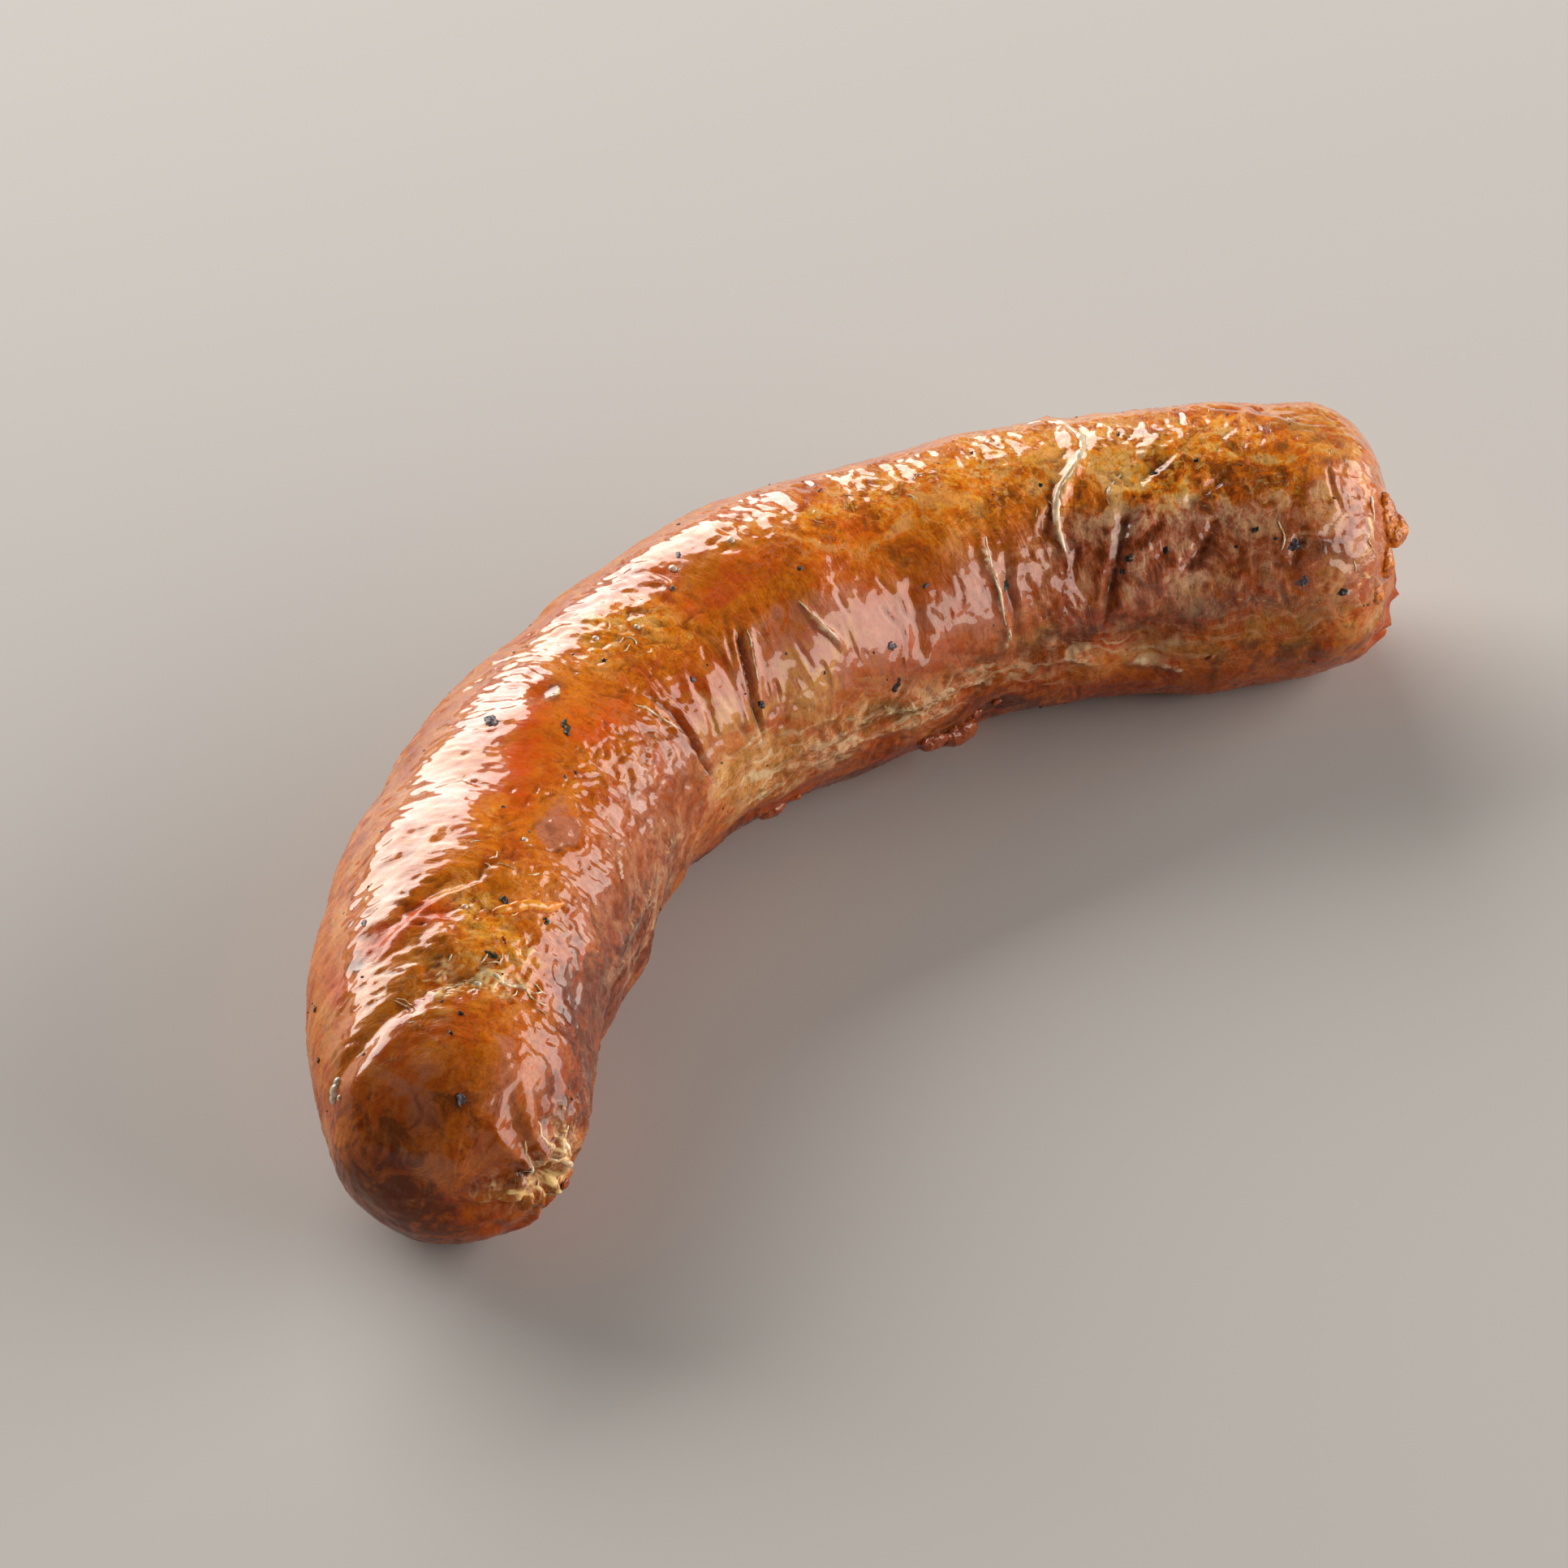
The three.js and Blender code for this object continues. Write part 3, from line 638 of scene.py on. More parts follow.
# How far the edges of the tones wander along the link and round it in degrees, and the wander's sizes
WANDER_AT, WANDER_ANGLE = ((2.6, 7.0, 21), (1.2, 2.6, 22)), ((8.0, 7.0, 23), (4.0, 2.6, 24))
shift_at, shift_angle = (
    sum(reach * waver(smooth, size, seed) for reach, size, seed in wander)
    for wander in (WANDER_AT, WANDER_ANGLE)
)
signed_angle = angle_between(ring_angle, 0)


def tone_mask(patches):
    return patch_mask(patches, station_at, ring_angle, shift_at, shift_angle)


def past(value, edge, blur):
    """0 up to an edge, then rising to 1 over the blur."""
    return np.clip((value - edge) / blur, 0, 1)


def shaded_sides():
    """How much less light reaches the skin low on both sides and at the near end."""
    inside = eased(past(angle_between(ring_angle, SHADE_INSIDE[0]), 0, SHADE_INSIDE[1]))
    outside = past(angle_between(SHADE_OUTSIDE[0], ring_angle), 0, SHADE_OUTSIDE[1])
    return np.maximum.reduce([inside, outside, HEAD_SHADE * bell(station_at, HEAD_LENGTH)])


def wetness():
    """The fat has run off low on both sides, round the near end and where the red meat is bared."""
    far = past(station_at, EDGE_GROWS_FROM, EDGE_GROWS_OVER)
    low_edge = LOW_EDGE + (LOW_EDGE_FAR - LOW_EDGE) * far
    low = np.clip((low_edge - signed_angle) / LOW_BLUR + 0.5, 0, 1)
    low = low + past(signed_angle, LOW_INSIDE, LOW_INSIDE_BLUR) + (signed_angle < LOWEST_OUTSIDE)
    head = patch_mask(DRY_HEAD, station_at, ring_angle)
    return 1 - np.maximum.reduce([DRY_SIDES * np.clip(low, 0, 1), head, DRY_WEDGE * tone_mask(WEDGE)])


inner_edge = INSIDE_EDGE + INSIDE_WAVER * waver(smooth, 12.0, 25)
skin_values = {name: tone_mask(patches) for name, patches in tones.items()}
skin_values.update(
    calm=patch_mask(CALM, station_at, ring_angle),
    lengthwise=patch_mask(LENGTHWISE, station_at, ring_angle),
    under=shaded_sides(),
    inside=np.clip(angle_between(ring_angle, inner_edge) / INSIDE_BLUR + 0.5, 0, 1),
    wet=wetness(),
    off_the_tips=past(end_share(station_at), SHARE_BEFORE_CAP, CAP_BLUR),
    groove=groove_mark,
    ridge=ridge_mark,
    along_mm=station_at,
    around_mm=np.radians(ring_angle - SEAM_ANGLE) * BODY_RADIUS,
)
for value_name, grid in skin_values.items():
    add_values(casing_mesh, value_name, np.concatenate([grid.ravel(), [grid[0].mean(), grid[-1].mean()]]))
print("values on the skin:", {name: round(float(grid.mean()), 2) for name, grid in skin_values.items()})

# %% [markdown]
# Small tools for node trees
# Every node tree below is made in code. These helpers add a node with its settings in one line and join
# sockets by name, so that a tree reads from its inputs to its output.

# %% Node helpers
def plug(tree, socket, value):
    """Links another node's output to a socket, or sets the socket to a plain value."""
    if isinstance(value, bpy.types.NodeSocket):
        tree.links.new(value, socket)
    else:
        socket.default_value = value


def add(tree, kind, values=None, **settings):
    node = tree.nodes.new(kind)
    for name, value in settings.items():
        setattr(node, name, value)
    for name, value in (values or {}).items():
        plug(tree, node.inputs[name], value)
    return node


def tone(code):
    """A linear colour from the usual six-letter code."""
    shares = [int(code[i:i + 2], 16) / 255 for i in (0, 2, 4)]
    return tuple(c / 12.92 if c <= 0.04045 else ((c + 0.055) / 1.055) ** 2.4 for c in shares) + (1.0,)


def maths(tree, operation, first, second=0.0, third=0.0, clamp=False):
    values = {0: first, 1: second, 2: third}
    return add(tree, "ShaderNodeMath", values, operation=operation, use_clamp=clamp).outputs[0]


def times(tree, first, *others):
    for other in others:
        first = maths(tree, "MULTIPLY", first, other)
    return first


def divided(tree, first, second):
    return maths(tree, "DIVIDE", first, second)


def sloped(tree, value, slope, base):
    """A value times a slope, plus a base."""
    return maths(tree, "MULTIPLY_ADD", value, slope, base)


def spread_range(tree, value, low, high, to_low=0.0, to_high=1.0):
    values = {"Value": value, "From Min": low, "From Max": high, "To Min": to_low, "To Max": to_high}
    return add(tree, "ShaderNodeMapRange", values, interpolation_type="SMOOTHSTEP").outputs["Result"]


def noise(tree, place, scale, detail, values=None, **settings):
    values = {"Vector": place, "Scale": scale, "Detail": detail, **(values or {})}
    return add(tree, "ShaderNodeTexNoise", values, **settings).outputs


def joined_axes(tree, *values):
    return add(tree, "ShaderNodeCombineXYZ", dict(enumerate(values))).outputs[0]


def blend_colours(tree, amount, under, over, kind="MIX"):
    mix = add(tree, "ShaderNodeMix", data_type="RGBA", blend_type=kind)
    sockets = {socket.identifier: socket for socket in [*mix.inputs, *mix.outputs]}
    for identifier, value in (("Factor_Float", amount), ("A_Color", under), ("B_Color", over)):
        plug(tree, sockets[identifier], value)
    return sockets["Result_Color"]

# %% Group, shape and material helpers
def new_group(name, kind, inputs, outputs):
    """A node group with named sockets: an input has a first value, or the word for its kind."""
    group = bpy.data.node_groups.new(name, kind)
    for socket_name, first in inputs.items():
        word = first if isinstance(first, str) else {float: "Float", int: "Int"}[type(first)]
        socket = group.interface.new_socket(socket_name, in_out="INPUT", socket_type="NodeSocket" + word)
        if not isinstance(first, str):
            socket.default_value = first
    for socket_name, word in outputs.items():
        group.interface.new_socket(socket_name, in_out="OUTPUT", socket_type="NodeSocket" + word)
    return group, group.nodes.new("NodeGroupInput").outputs, group.nodes.new("NodeGroupOutput").inputs


def hand_out(group, result, **values):
    for name, value in values.items():
        plug(group, result[name], value)
    return group


def group_outputs(tree, group, values):
    return add(tree, "ShaderNodeGroup", values, node_tree=group).outputs


def kept(group, name, kind="FLOAT"):
    """A value that the points of a shape carry."""
    return add(group, "GeometryNodeInputNamedAttribute", {"Name": name}, data_type=kind).outputs[0]


def keep(group, geometry, name, value, kind="FLOAT"):
    values = {"Geometry": geometry, "Name": name, "Value": value}
    return add(group, "GeometryNodeStoreNamedAttribute", values, data_type=kind, domain="POINT").outputs[0]


def moved(group, geometry, direction, distance):
    """Moves the points of a shape this far along a direction."""
    step = add(group, "ShaderNodeVectorMath", {0: direction, "Scale": distance}, operation="SCALE")
    values = {"Geometry": geometry, "Offset": step.outputs[0]}
    return add(group, "GeometryNodeSetPosition", values).outputs[0]


def centred_vector(group, colour):
    """Turns a noise's colour into a direction that points any way."""
    values = {0: colour, 1: (0.5, 0.5, 0.5)}
    return add(group, "ShaderNodeVectorMath", values, operation="SUBTRACT").outputs[0]


def finished(group, geometry, given, result):
    """Sets the finish on a shape and hands it out of the group."""
    dressed = add(group, "GeometryNodeSetMaterial", {"Geometry": geometry, "Material": given["Finish"]})
    plug(group, result[0], dressed.outputs[0])
    return group


def shaped_by(obj, group, values):
    """Runs a Geometry Nodes tree on an object and leaves it as a plain mesh without a modifier."""
    modifier = obj.modifiers.new(group.name, "NODES")
    modifier.node_group = group
    for item in group.interface.items_tree:
        if item.item_type == "SOCKET" and item.in_out == "INPUT" and item.name in values:
            modifier[item.identifier] = values[item.name]
    graph = bpy.context.evaluated_depsgraph_get()
    seen = obj.evaluated_get(graph)
    plain = bpy.data.meshes.new_from_object(seen, preserve_all_data_layers=True, depsgraph=graph)
    obj.modifiers.clear()
    old, obj.data = obj.data, plain
    bpy.data.meshes.remove(old)
    obj.data.shade_smooth()
    return obj


def new_object(name, mesh):
    obj = bpy.data.objects.new(name, mesh)
    bpy.context.scene.collection.objects.link(obj)
    return obj


def new_material(name, values):
    """A material with its shader's plain values set, its node tree and its shader."""
    material = bpy.data.materials.new(name)
    material.use_nodes = True
    shader = material.node_tree.nodes["Principled BSDF"]
    for socket_name, value in values.items():
        shader.inputs[socket_name].default_value = value
    return material, material.node_tree, shader


def count_triangles(mesh):
    return sum(len(face.vertices) - 2 for face in mesh.polygons)

# %% [markdown]
# Fine wrinkles as lines
# Besides the large folds the casing carries hundreds of short wrinkles. They run along the link on the
# inside of the bend, where the skin is gathered, and across it where it was stretched and then sagged.
# One could paint them in a bump texture, but drawn as lines on the form they can be pressed into the net,
# so the highlights bend round them. A zone says how many lines it has, where, which way they run and how
# long they are.

# %% Wrinkle lines
WRINKLE_ZONES = [
    # count, from at, to at, from angle, to angle, direction (0 is along), spread of direction, length
    (10, 78, 112, 118, 184, 88, 14, 6), (40, 36, 82, 150, 184, 4, 9, 9), (46, 102, 152, 166, 204, 2, 8, 11),
    (40, 14, 34, 50, 132, 60, 60, 3.5), (70, 22, 80, 32, 78, 68, 26, 4.5), (26, 35, 62, 98, 122, 8, 12, 6),
    (80, 148, 200, 58, 178, 80, 50, 4), (34, 82, 100, 84, 122, 35, 35, 4), (80, 16, 192, -85, 30, 84, 25, 7),
    (26, 62, 84, 122, 150, 30, 40, 5), (34, 104, 146, 60, 96, 60, 40, 4), (34, 2, 22, 160, 212, 20, 25, 5),
    (8, 108, 146, 122, 160, 78, 26, 6), (30, 74, 104, 34, 78, 66, 20, 6),
]
LINE_STEP = 0.7


def wrinkle_lines(seed):
    draw = np.random.default_rng(seed)
    points, edges = [], []
    for count, low_at, high_at, low_angle, high_angle, direction, spread, length in WRINKLE_ZONES:
        for _ in range(count):
            at, angle = draw.uniform(low_at, high_at), draw.uniform(low_angle, high_angle)
            course, curl = np.radians([draw.normal(direction, spread), draw.normal(0, 5)])
            row = []
            for _ in range(max(3, int(draw.uniform(0.4, 1.7) * length / LINE_STEP))):
                row.append((at, angle))
                at += LINE_STEP * math.cos(course)
                angle += LINE_STEP * math.sin(course) / max(mm_per_degree(np.float64(at)), 0.08)
                course += curl + math.radians(draw.normal(0, 12))
            row = [(a, b) for a, b in row if 1.0 < a < CURVE_LENGTH - 1.0]
            edges += [(len(points) + i, len(points) + i + 1) for i in range(len(row) - 1)]
            points += row
    mesh = bpy.data.meshes.new("wrinkle_lines")
    mesh.from_pydata((on_skin(*np.array(points).T) * MM).tolist(), edges, [])
    return new_object("wrinkle_lines", mesh)


lines = wrinkle_lines(31)
print("wrinkle line points:", len(lines.data.vertices))

# %% [markdown]
# Pressing the wrinkles in
# A Geometry Nodes tree measures how far each corner of the net lies from the nearest wrinkle line and
# sinks it by a soft profile, with a slight swelling beside the line. The same tree adds a fine crumple of
# ridged noise, stronger where the casing is loose. It stores how deep a wrinkle is and where the crests of
# the crumple are, so that the shader can darken the wrinkles as painted shade and tint the crests pale.

# %% Wrinkle tree
WRINKLE_DEPTH, WRINKLE_HALF_WIDTH = 0.2 * MM, 0.3 * MM
CRUMPLE_DEPTH, CRUMPLE_SIZE = 0.14 * MM, 2.1 * MM
CRUMPLE_MIDDLE, CRUMPLE_CREST = 1.35, (1.1, 1.9)
LOOSE_CRUMPLE, CALM_CRUMPLE, PLAIN_CRUMPLE = 2.6, -0.85, 1.05
LINE_LIP, LIP_PLACE = 0.35, 2.0
FLAT_UNDER = 1.2 * MM
RIDGED = dict(Offset=1.0, Gain=1.6)


def soft_line(group, away):
    """1 on a line and 0 away from it, for a distance counted in half widths."""
    return maths(group, "EXPONENT", times(group, maths(group, "POWER", away, 2.0), -1.0))


def wrinkle_tree():
    group, given, result = new_group("press_wrinkles", "GeometryNodeTree", {
        "Skin": "Geometry", "Wrinkle lines": "Object", "Depth": 0.0002, "Half width": 0.0005,
        "Crumple depth": 0.0001, "Crumple size": 0.002, "Seed": 0.0, "Finish": "Material",
    }, {"Skin": "Geometry"})
    place = add(group, "GeometryNodeInputPosition").outputs[0]
    line_shape = add(group, "GeometryNodeObjectInfo", {"Object": given["Wrinkle lines"]})
    near = add(group, "GeometryNodeProximity", {"Geometry": line_shape.outputs["Geometry"]},
               target_element="EDGES")
    away = divided(group, near.outputs["Distance"], given["Half width"])
    closeness = soft_line(group, away)
    lip = soft_line(group, maths(group, "SUBTRACT", away, LIP_PLACE))
    strength = spread_range(group, noise(group, place, 420.0, 2.0)["Fac"], 0.35, 0.7, 0.15, 1.3)
    profile = sloped(group, lip, LINE_LIP, times(group, closeness, -1.0))
    pressed = times(group, profile, given["Depth"], strength)
    crumple = noise(
        group, place, divided(group, 1.0, given["Crumple size"]), 3.0,
        {"W": given["Seed"], "Roughness": 0.55, "Distortion": 0.6, **RIDGED},
        noise_dimensions="4D", noise_type="RIDGED_MULTIFRACTAL",
    )["Fac"]
    amount = sloped(group, kept(group, "calm"), CALM_CRUMPLE, PLAIN_CRUMPLE)
    amount = sloped(group, kept(group, "loose"), LOOSE_CRUMPLE, amount)
    centred = maths(group, "SUBTRACT", crumple, CRUMPLE_MIDDLE)
    crumpled = times(group, centred, given["Crumple depth"], amount)
    above = add(group, "ShaderNodeSeparateXYZ", {0: place}).outputs["Z"]
    lifted_off = spread_range(group, above, 0.0, FLAT_UNDER)
    rise = times(group, maths(group, "ADD", pressed, crumpled), lifted_off)
    skin = keep(group, given["Skin"], "wrinkle", times(group, closeness, strength))
    skin = keep(group, skin, "crumple", spread_range(group, crumple, *CRUMPLE_CREST))
    normal = add(group, "GeometryNodeInputNormal").outputs[0]
    return finished(group, moved(group, skin, normal, rise), given, result)

# %% [markdown]
# Shared effects
# Five groups are shared by the finishes. The grain is the broken look of minced meat and fat under a film.
# The crinkle is the relief of a thin skin that shrank: fine lines that run across the link or along it.
# The cracks are the narrow lines between the scales of the film. The strands are the thin pale veins that
# fat and loose film draw over the darker meat, and the streaks are longer and run along the link.

# %% Grain and crinkle groups
def grain_group():
    group, given, result = new_group("meat_grain", "ShaderNodeTree", {"Place": "Vector", "Size": 0.004}, {
        "Patches": "Float", "Flecks": "Float", "Height": "Float",
    })
    scale = divided(group, 1.0, given["Size"])
    broad = noise(group, given["Place"], scale, 5.0, {"Roughness": 0.62, "Distortion": 1.4})["Fac"]
    fine = noise(group, given["Place"], times(group, scale, 3.4), 4.0, {
        "Roughness": 0.6, "Distortion": 0.5,
    })["Fac"]
    return hand_out(group, result, Patches=spread_range(group, broad, 0.37, 0.63),
                    Flecks=spread_range(group, fine, 0.52, 0.68), Height=sloped(group, fine, 0.4, broad))


def crinkle_group():
    group, given, result = new_group("skin_crinkle", "ShaderNodeTree", {
        "Along": 0.0, "Around": 0.0, "Place": "Vector", "Lengthwise": 0.0, "Spacing": 1.0, "Stretch": 4.0,
    }, {"Height": "Float"})
    bend = sloped(group, noise(group, given["Place"], 160.0, 2.0)["Fac"], 5.0, -2.5)
    long_step = times(group, given["Spacing"], given["Stretch"])
    heights = []
    for first, second in (("Along", "Around"), ("Around", "Along")):
        narrow = divided(group, maths(group, "ADD", given[first], bend), given["Spacing"])
        grid = joined_axes(group, narrow, divided(group, given[second], long_step))
        heights.append(noise(group, grid, 1.0, 3.0, {"Roughness": 0.6, "Distortion": 0.5, **RIDGED},
                             noise_type="RIDGED_MULTIFRACTAL")["Fac"])
    across, along = heights
    turned = times(group, maths(group, "SUBTRACT", along, across), given["Lengthwise"])
    return hand_out(group, result, Height=maths(group, "ADD", across, turned))

# %% Crack, strand and streak groups
def crack_group():
    group, given, result = new_group("skin_cracks", "ShaderNodeTree", {
        "Along": 0.0, "Around": 0.0, "Place": "Vector", "Length": 2.4, "Breadth": 1.0, "Line width": 0.1,
    }, {"Height": "Float"})
    sway = noise(group, given["Place"], 420.0, 3.0)["Color"]
    bend = add(group, "ShaderNodeSeparateXYZ", {0: sway}).outputs
    across = divided(group, sloped(group, bend["X"], 2.6, given["Along"]), given["Breadth"])
    onward = divided(group, sloped(group, bend["Y"], 2.6, given["Around"]), given["Length"])
    values = {"Vector": joined_axes(group, across, onward), "Scale": 1.0}
    cells = add(group, "ShaderNodeTexVoronoi", values, feature="DISTANCE_TO_EDGE")
    level = maths(group, "DIVIDE", cells.outputs["Distance"], given["Line width"], clamp=True)
    return hand_out(group, result, Height=level)


def strand_group():
    group, given, result = new_group("fat_strands", "ShaderNodeTree", {
        "Place": "Vector", "Size": 0.003, "Width": 0.1,
    }, {"Mask": "Float"})
    field = noise(group, given["Place"], divided(group, 1.0, given["Size"]), 4.0, {
        "Roughness": 0.55, "Distortion": 1.8,
    })["Fac"]
    off_centre = maths(group, "ABSOLUTE", maths(group, "SUBTRACT", field, 0.5))
    away = divided(group, off_centre, given["Width"])
    near_line = maths(group, "SUBTRACT", 1.0, away, clamp=True)
    return hand_out(group, result, Mask=maths(group, "POWER", near_line, 1.6))


def streak_group():
    group, given, result = new_group("drawn_streaks", "ShaderNodeTree", {
        "Along": 0.0, "Around": 0.0, "Place": "Vector", "Length": 7.0, "Breadth": 1.3,
    }, {"Mask": "Float"})
    swayed = sloped(group, noise(group, given["Place"], 180.0, 2.0)["Fac"], 6.0, given["Around"])
    onward = divided(group, given["Along"], given["Length"])
    grid = joined_axes(group, onward, divided(group, swayed, given["Breadth"]))
    drawn = noise(group, grid, 1.0, 3.0, {"Roughness": 0.6, "Distortion": 0.6})["Fac"]
    return hand_out(group, result, Mask=spread_range(group, drawn, 0.5, 0.66))


meat_grain, skin_crinkle, skin_cracks = grain_group(), crinkle_group(), crack_group()
fat_strands, drawn_streaks = strand_group(), streak_group()
print("shared groups:", [group.name for group in bpy.data.node_groups])

# %% [markdown]
# The casing's finish
# The casing is a thin wet film over meat. Its colour is built up as the eye finds it: an orange-brown base,
# red meat, amber fat, rose patches that are partly a painted reflection, tan and umber browning with some
# painted shade on the underside, pale strands where the film lifts, pale patches that are partly painted
# highlights, painted shade low on the sides and at the near end, and painted shade as dark lines in the
# folds and wrinkles. On the inside of the bend a paler, pinker ramp is partly a painted sheen. A clear coat
# gives the wet shine. It is thinner low on the sides, where the fat has run off, and a little light goes
# under the surface.

# %% Masks and ramps
def attribute(tree, name):
    return add(tree, "ShaderNodeAttribute", attribute_name=name).outputs["Fac"]


def net_place(tree, place):
    return {"Along": attribute(tree, "along_mm"), "Around": attribute(tree, "around_mm"), "Place": place}


def broken_mask(tree, name, breakup, low=0.2, high=0.8, reach=0.6):
    """The mask of a tone with its edge broken up by a noise."""
    shifted = sloped(tree, breakup, reach, -0.5 * reach)
    return spread_range(tree, maths(tree, "ADD", attribute(tree, name), shifted), low, high)


def colour_ramp(tree, value, stops):
    ramp = add(tree, "ShaderNodeValToRGB", {"Fac": value})
    elements = ramp.color_ramp.elements
    while len(elements) < len(stops):
        elements.new(1.0)
    for element, (place, code) in zip(elements, stops):
        element.position, element.color = place, tone(code)
    return ramp.outputs["Color"]


def paint(tree, colour, amount, strength, code):
    """Lays a tone over a colour where the amount says, at this strength."""
    return blend_colours(tree, times(tree, amount, strength), colour, tone(code))

# %% Casing colour
TOP_STOPS = [(0.60, "6C2A06"), (0.65, "C85A06"), (0.695, "F07C0A"), (0.74, "FFA01E"), (0.79, "FFCE78")]
# The inside ramp is paler and pinker: partly the skin's own tone there, partly a painted sheen of the
# right-hand window.
INSIDE_TONE_AND_SHEEN_STOPS = [(0.60, "4A2010"), (0.655, "964C26"), (0.70, "C07452"), (0.745, "DA987E"), (0.80, "F6D0A4")]
# The rose tone is partly a painted reflection of the right-hand window.
BROAD_TONES = [("red", "E25004", 0.85), ("rose_and_sheen", "C87C62", 0.8)]
# The umber tone is partly painted shade on the underside.
FINER_TONES = [("amber", "F88C0A", 0.85), ("tan", "E2A24A", 0.9), ("umber_and_shade", "6A300C", 0.8)]


def meat_colour(tree, place, broad, middle):
    """The meat and the browning that show through the film."""
    colour = blend_colours(tree, broad["Patches"], tone("CE5C08"), tone("EA8A14"))
    colour = paint(tree, colour, middle["Flecks"], 0.45, "A84604")
    for grain, layers in ((broad, BROAD_TONES), (middle, FINER_TONES)):
        for name, code, strength in layers:
            colour = paint(tree, colour, broken_mask(tree, name, grain["Patches"]), strength, code)
    marble = group_outputs(tree, meat_grain, {"Place": place, "Size": 6.6 * MM})["Height"]
    outer, inner_and_sheen = (colour_ramp(tree, marble, stops) for stops in (TOP_STOPS, INSIDE_TONE_AND_SHEEN_STOPS))
    side = spread_range(tree, sloped(tree, broad["Patches"], 0.5, attribute(tree, "inside")), 0.2, 1.1)
    marbled = blend_colours(tree, side, outer, inner_and_sheen)
    return blend_colours(tree, times(tree, attribute(tree, "mottled"), 0.8), colour, marbled)


def casing_colour(tree, place, broad, middle, small):
    """The casing's colour, and where the film is loose and pale, with some pale patches painted as
    highlights.
    """
    colour = meat_colour(tree, place, broad, middle)
    calm, crests = attribute(tree, "calm"), attribute(tree, "crumple")
    fat = broken_mask(tree, "amber", small["Patches"], 0.62, 1.0, 0.8)
    colour = paint(tree, colour, fat, 0.45, "FFC040")
    colour = paint(tree, colour, small["Flecks"], sloped(tree, calm, -0.3, 0.45), "7A3208")
    veins = group_outputs(tree, fat_strands, {"Place": place, "Size": 4.4 * MM, "Width": 0.02})["Mask"]
    colour = paint(tree, colour, times(tree, veins, sloped(tree, calm, -0.8, 1.0)), 0.5, "7C3406")
    paleness = maths(tree, "MAXIMUM", attribute(tree, "tan"), attribute(tree, "rose_and_sheen"))
    shade = times(tree, attribute(tree, "under"), 0.75, sloped(tree, paleness, -0.85, 1.0))
    colour = blend_colours(tree, shade, colour, tone("B08058"), "MULTIPLY")
    streaks = group_outputs(tree, drawn_streaks, net_place(tree, place))["Mask"]
    colour = paint(tree, colour, times(tree, streaks, attribute(tree, "streaky")), 0.7, "EFD9AE")
    # Pale film and painted highlight: some of these pale patches stand in for highlights.
    pale_and_highlight = broken_mask(tree, "loose", crests, 0.5, 1.15, 1.0)
    colour = paint(tree, colour, pale_and_highlight, 0.85, "FFDC94")
    strands = group_outputs(tree, fat_strands, {"Place": place, "Size": 6 * MM, "Width": 0.03})["Mask"]
    lifted = maths(tree, "ADD", attribute(tree, "loose"), times(tree, fat, 0.8), clamp=True)
    colour = paint(tree, colour, strands, sloped(tree, lifted, 0.45, 0.04), "F7E3BC")
    edge = broken_mask(tree, "ridge", small["Patches"], 0.55, 1.05, 0.7)
    colour = paint(tree, colour, times(tree, edge, sloped(tree, crests, 0.8, 0.2)), 0.8, "F3DDB4")
    # Painted shade: the wrinkle lines are painted darker.
    colour = paint(tree, colour, attribute(tree, "wrinkle"), 0.4, "7C340C")
    # Painted shade: the folds are painted dark along their bottoms.
    groove = spread_range(tree, attribute(tree, "groove"), 0.3, 1.0)
    return paint(tree, colour, groove, 0.75, "5E2A08"), pale_and_highlight

# %% Casing material
def casing_relief(tree, place, small):
    """Crinkles and cracks where the skin isn't calm, over the grain of the meat."""
    crinkle = group_outputs(tree, skin_crinkle, {
        **net_place(tree, place), "Lengthwise": attribute(tree, "lengthwise"), "Spacing": 1.3,
        "Stretch": 3.6,
    })["Height"]
    cracks = group_outputs(tree, skin_cracks, {
        **net_place(tree, place), "Length": 6.5, "Breadth": 2.3, "Line width": 0.09,
    })["Height"]
    film = times(tree, sloped(tree, cracks, 0.5, crinkle), sloped(tree, attribute(tree, "calm"), -0.8, 1.0),
                 attribute(tree, "off_the_tips"))
    return sloped(tree, small["Height"], 0.9, film)


def casing_material():
    material, tree, shader = new_material("cooked_casing", {
        "IOR": 1.42, "Specular IOR Level": 0.2, "Subsurface Weight": 0.08,
        "Subsurface Radius": (1.0, 0.35, 0.12), "Subsurface Scale": 1.2 * MM, "Coat Roughness": 0.06,
        "Coat IOR": 1.45,
    })
    place = add(tree, "ShaderNodeTexCoord").outputs["Object"]
    broad, middle, small = (
        group_outputs(tree, meat_grain, {"Place": place, "Size": size * MM}) for size in (9, 4.2, 1.8)
    )
    colour, pale_and_highlight = casing_colour(tree, place, broad, middle, small)
    dull = sloped(tree, pale_and_highlight, 0.15, sloped(tree, small["Patches"], 0.1, 0.22))
    height = casing_relief(tree, place, small)
    bump = add(tree, "ShaderNodeBump", {"Strength": 0.25, "Distance": 0.16 * MM, "Height": height})
    tree.links.new(colour, shader.inputs["Base Color"])
    tree.links.new(dull, shader.inputs["Roughness"])
    tree.links.new(bump.outputs["Normal"], shader.inputs["Normal"])
    tree.links.new(attribute(tree, "wet"), shader.inputs["Coat Weight"])
    return material

# %% Casing
casing = shaped_by(new_object("casing", casing_mesh), wrinkle_tree(), {
    "Wrinkle lines": lines, "Depth": WRINKLE_DEPTH, "Half width": WRINKLE_HALF_WIDTH, "Seed": 3.0,
    "Crumple depth": CRUMPLE_DEPTH, "Crumple size": CRUMPLE_SIZE, "Finish": casing_material(),
})
bpy.data.objects.remove(lines)
print("casing triangles:", count_triangles(casing.data), "materials:", len(casing.data.materials))

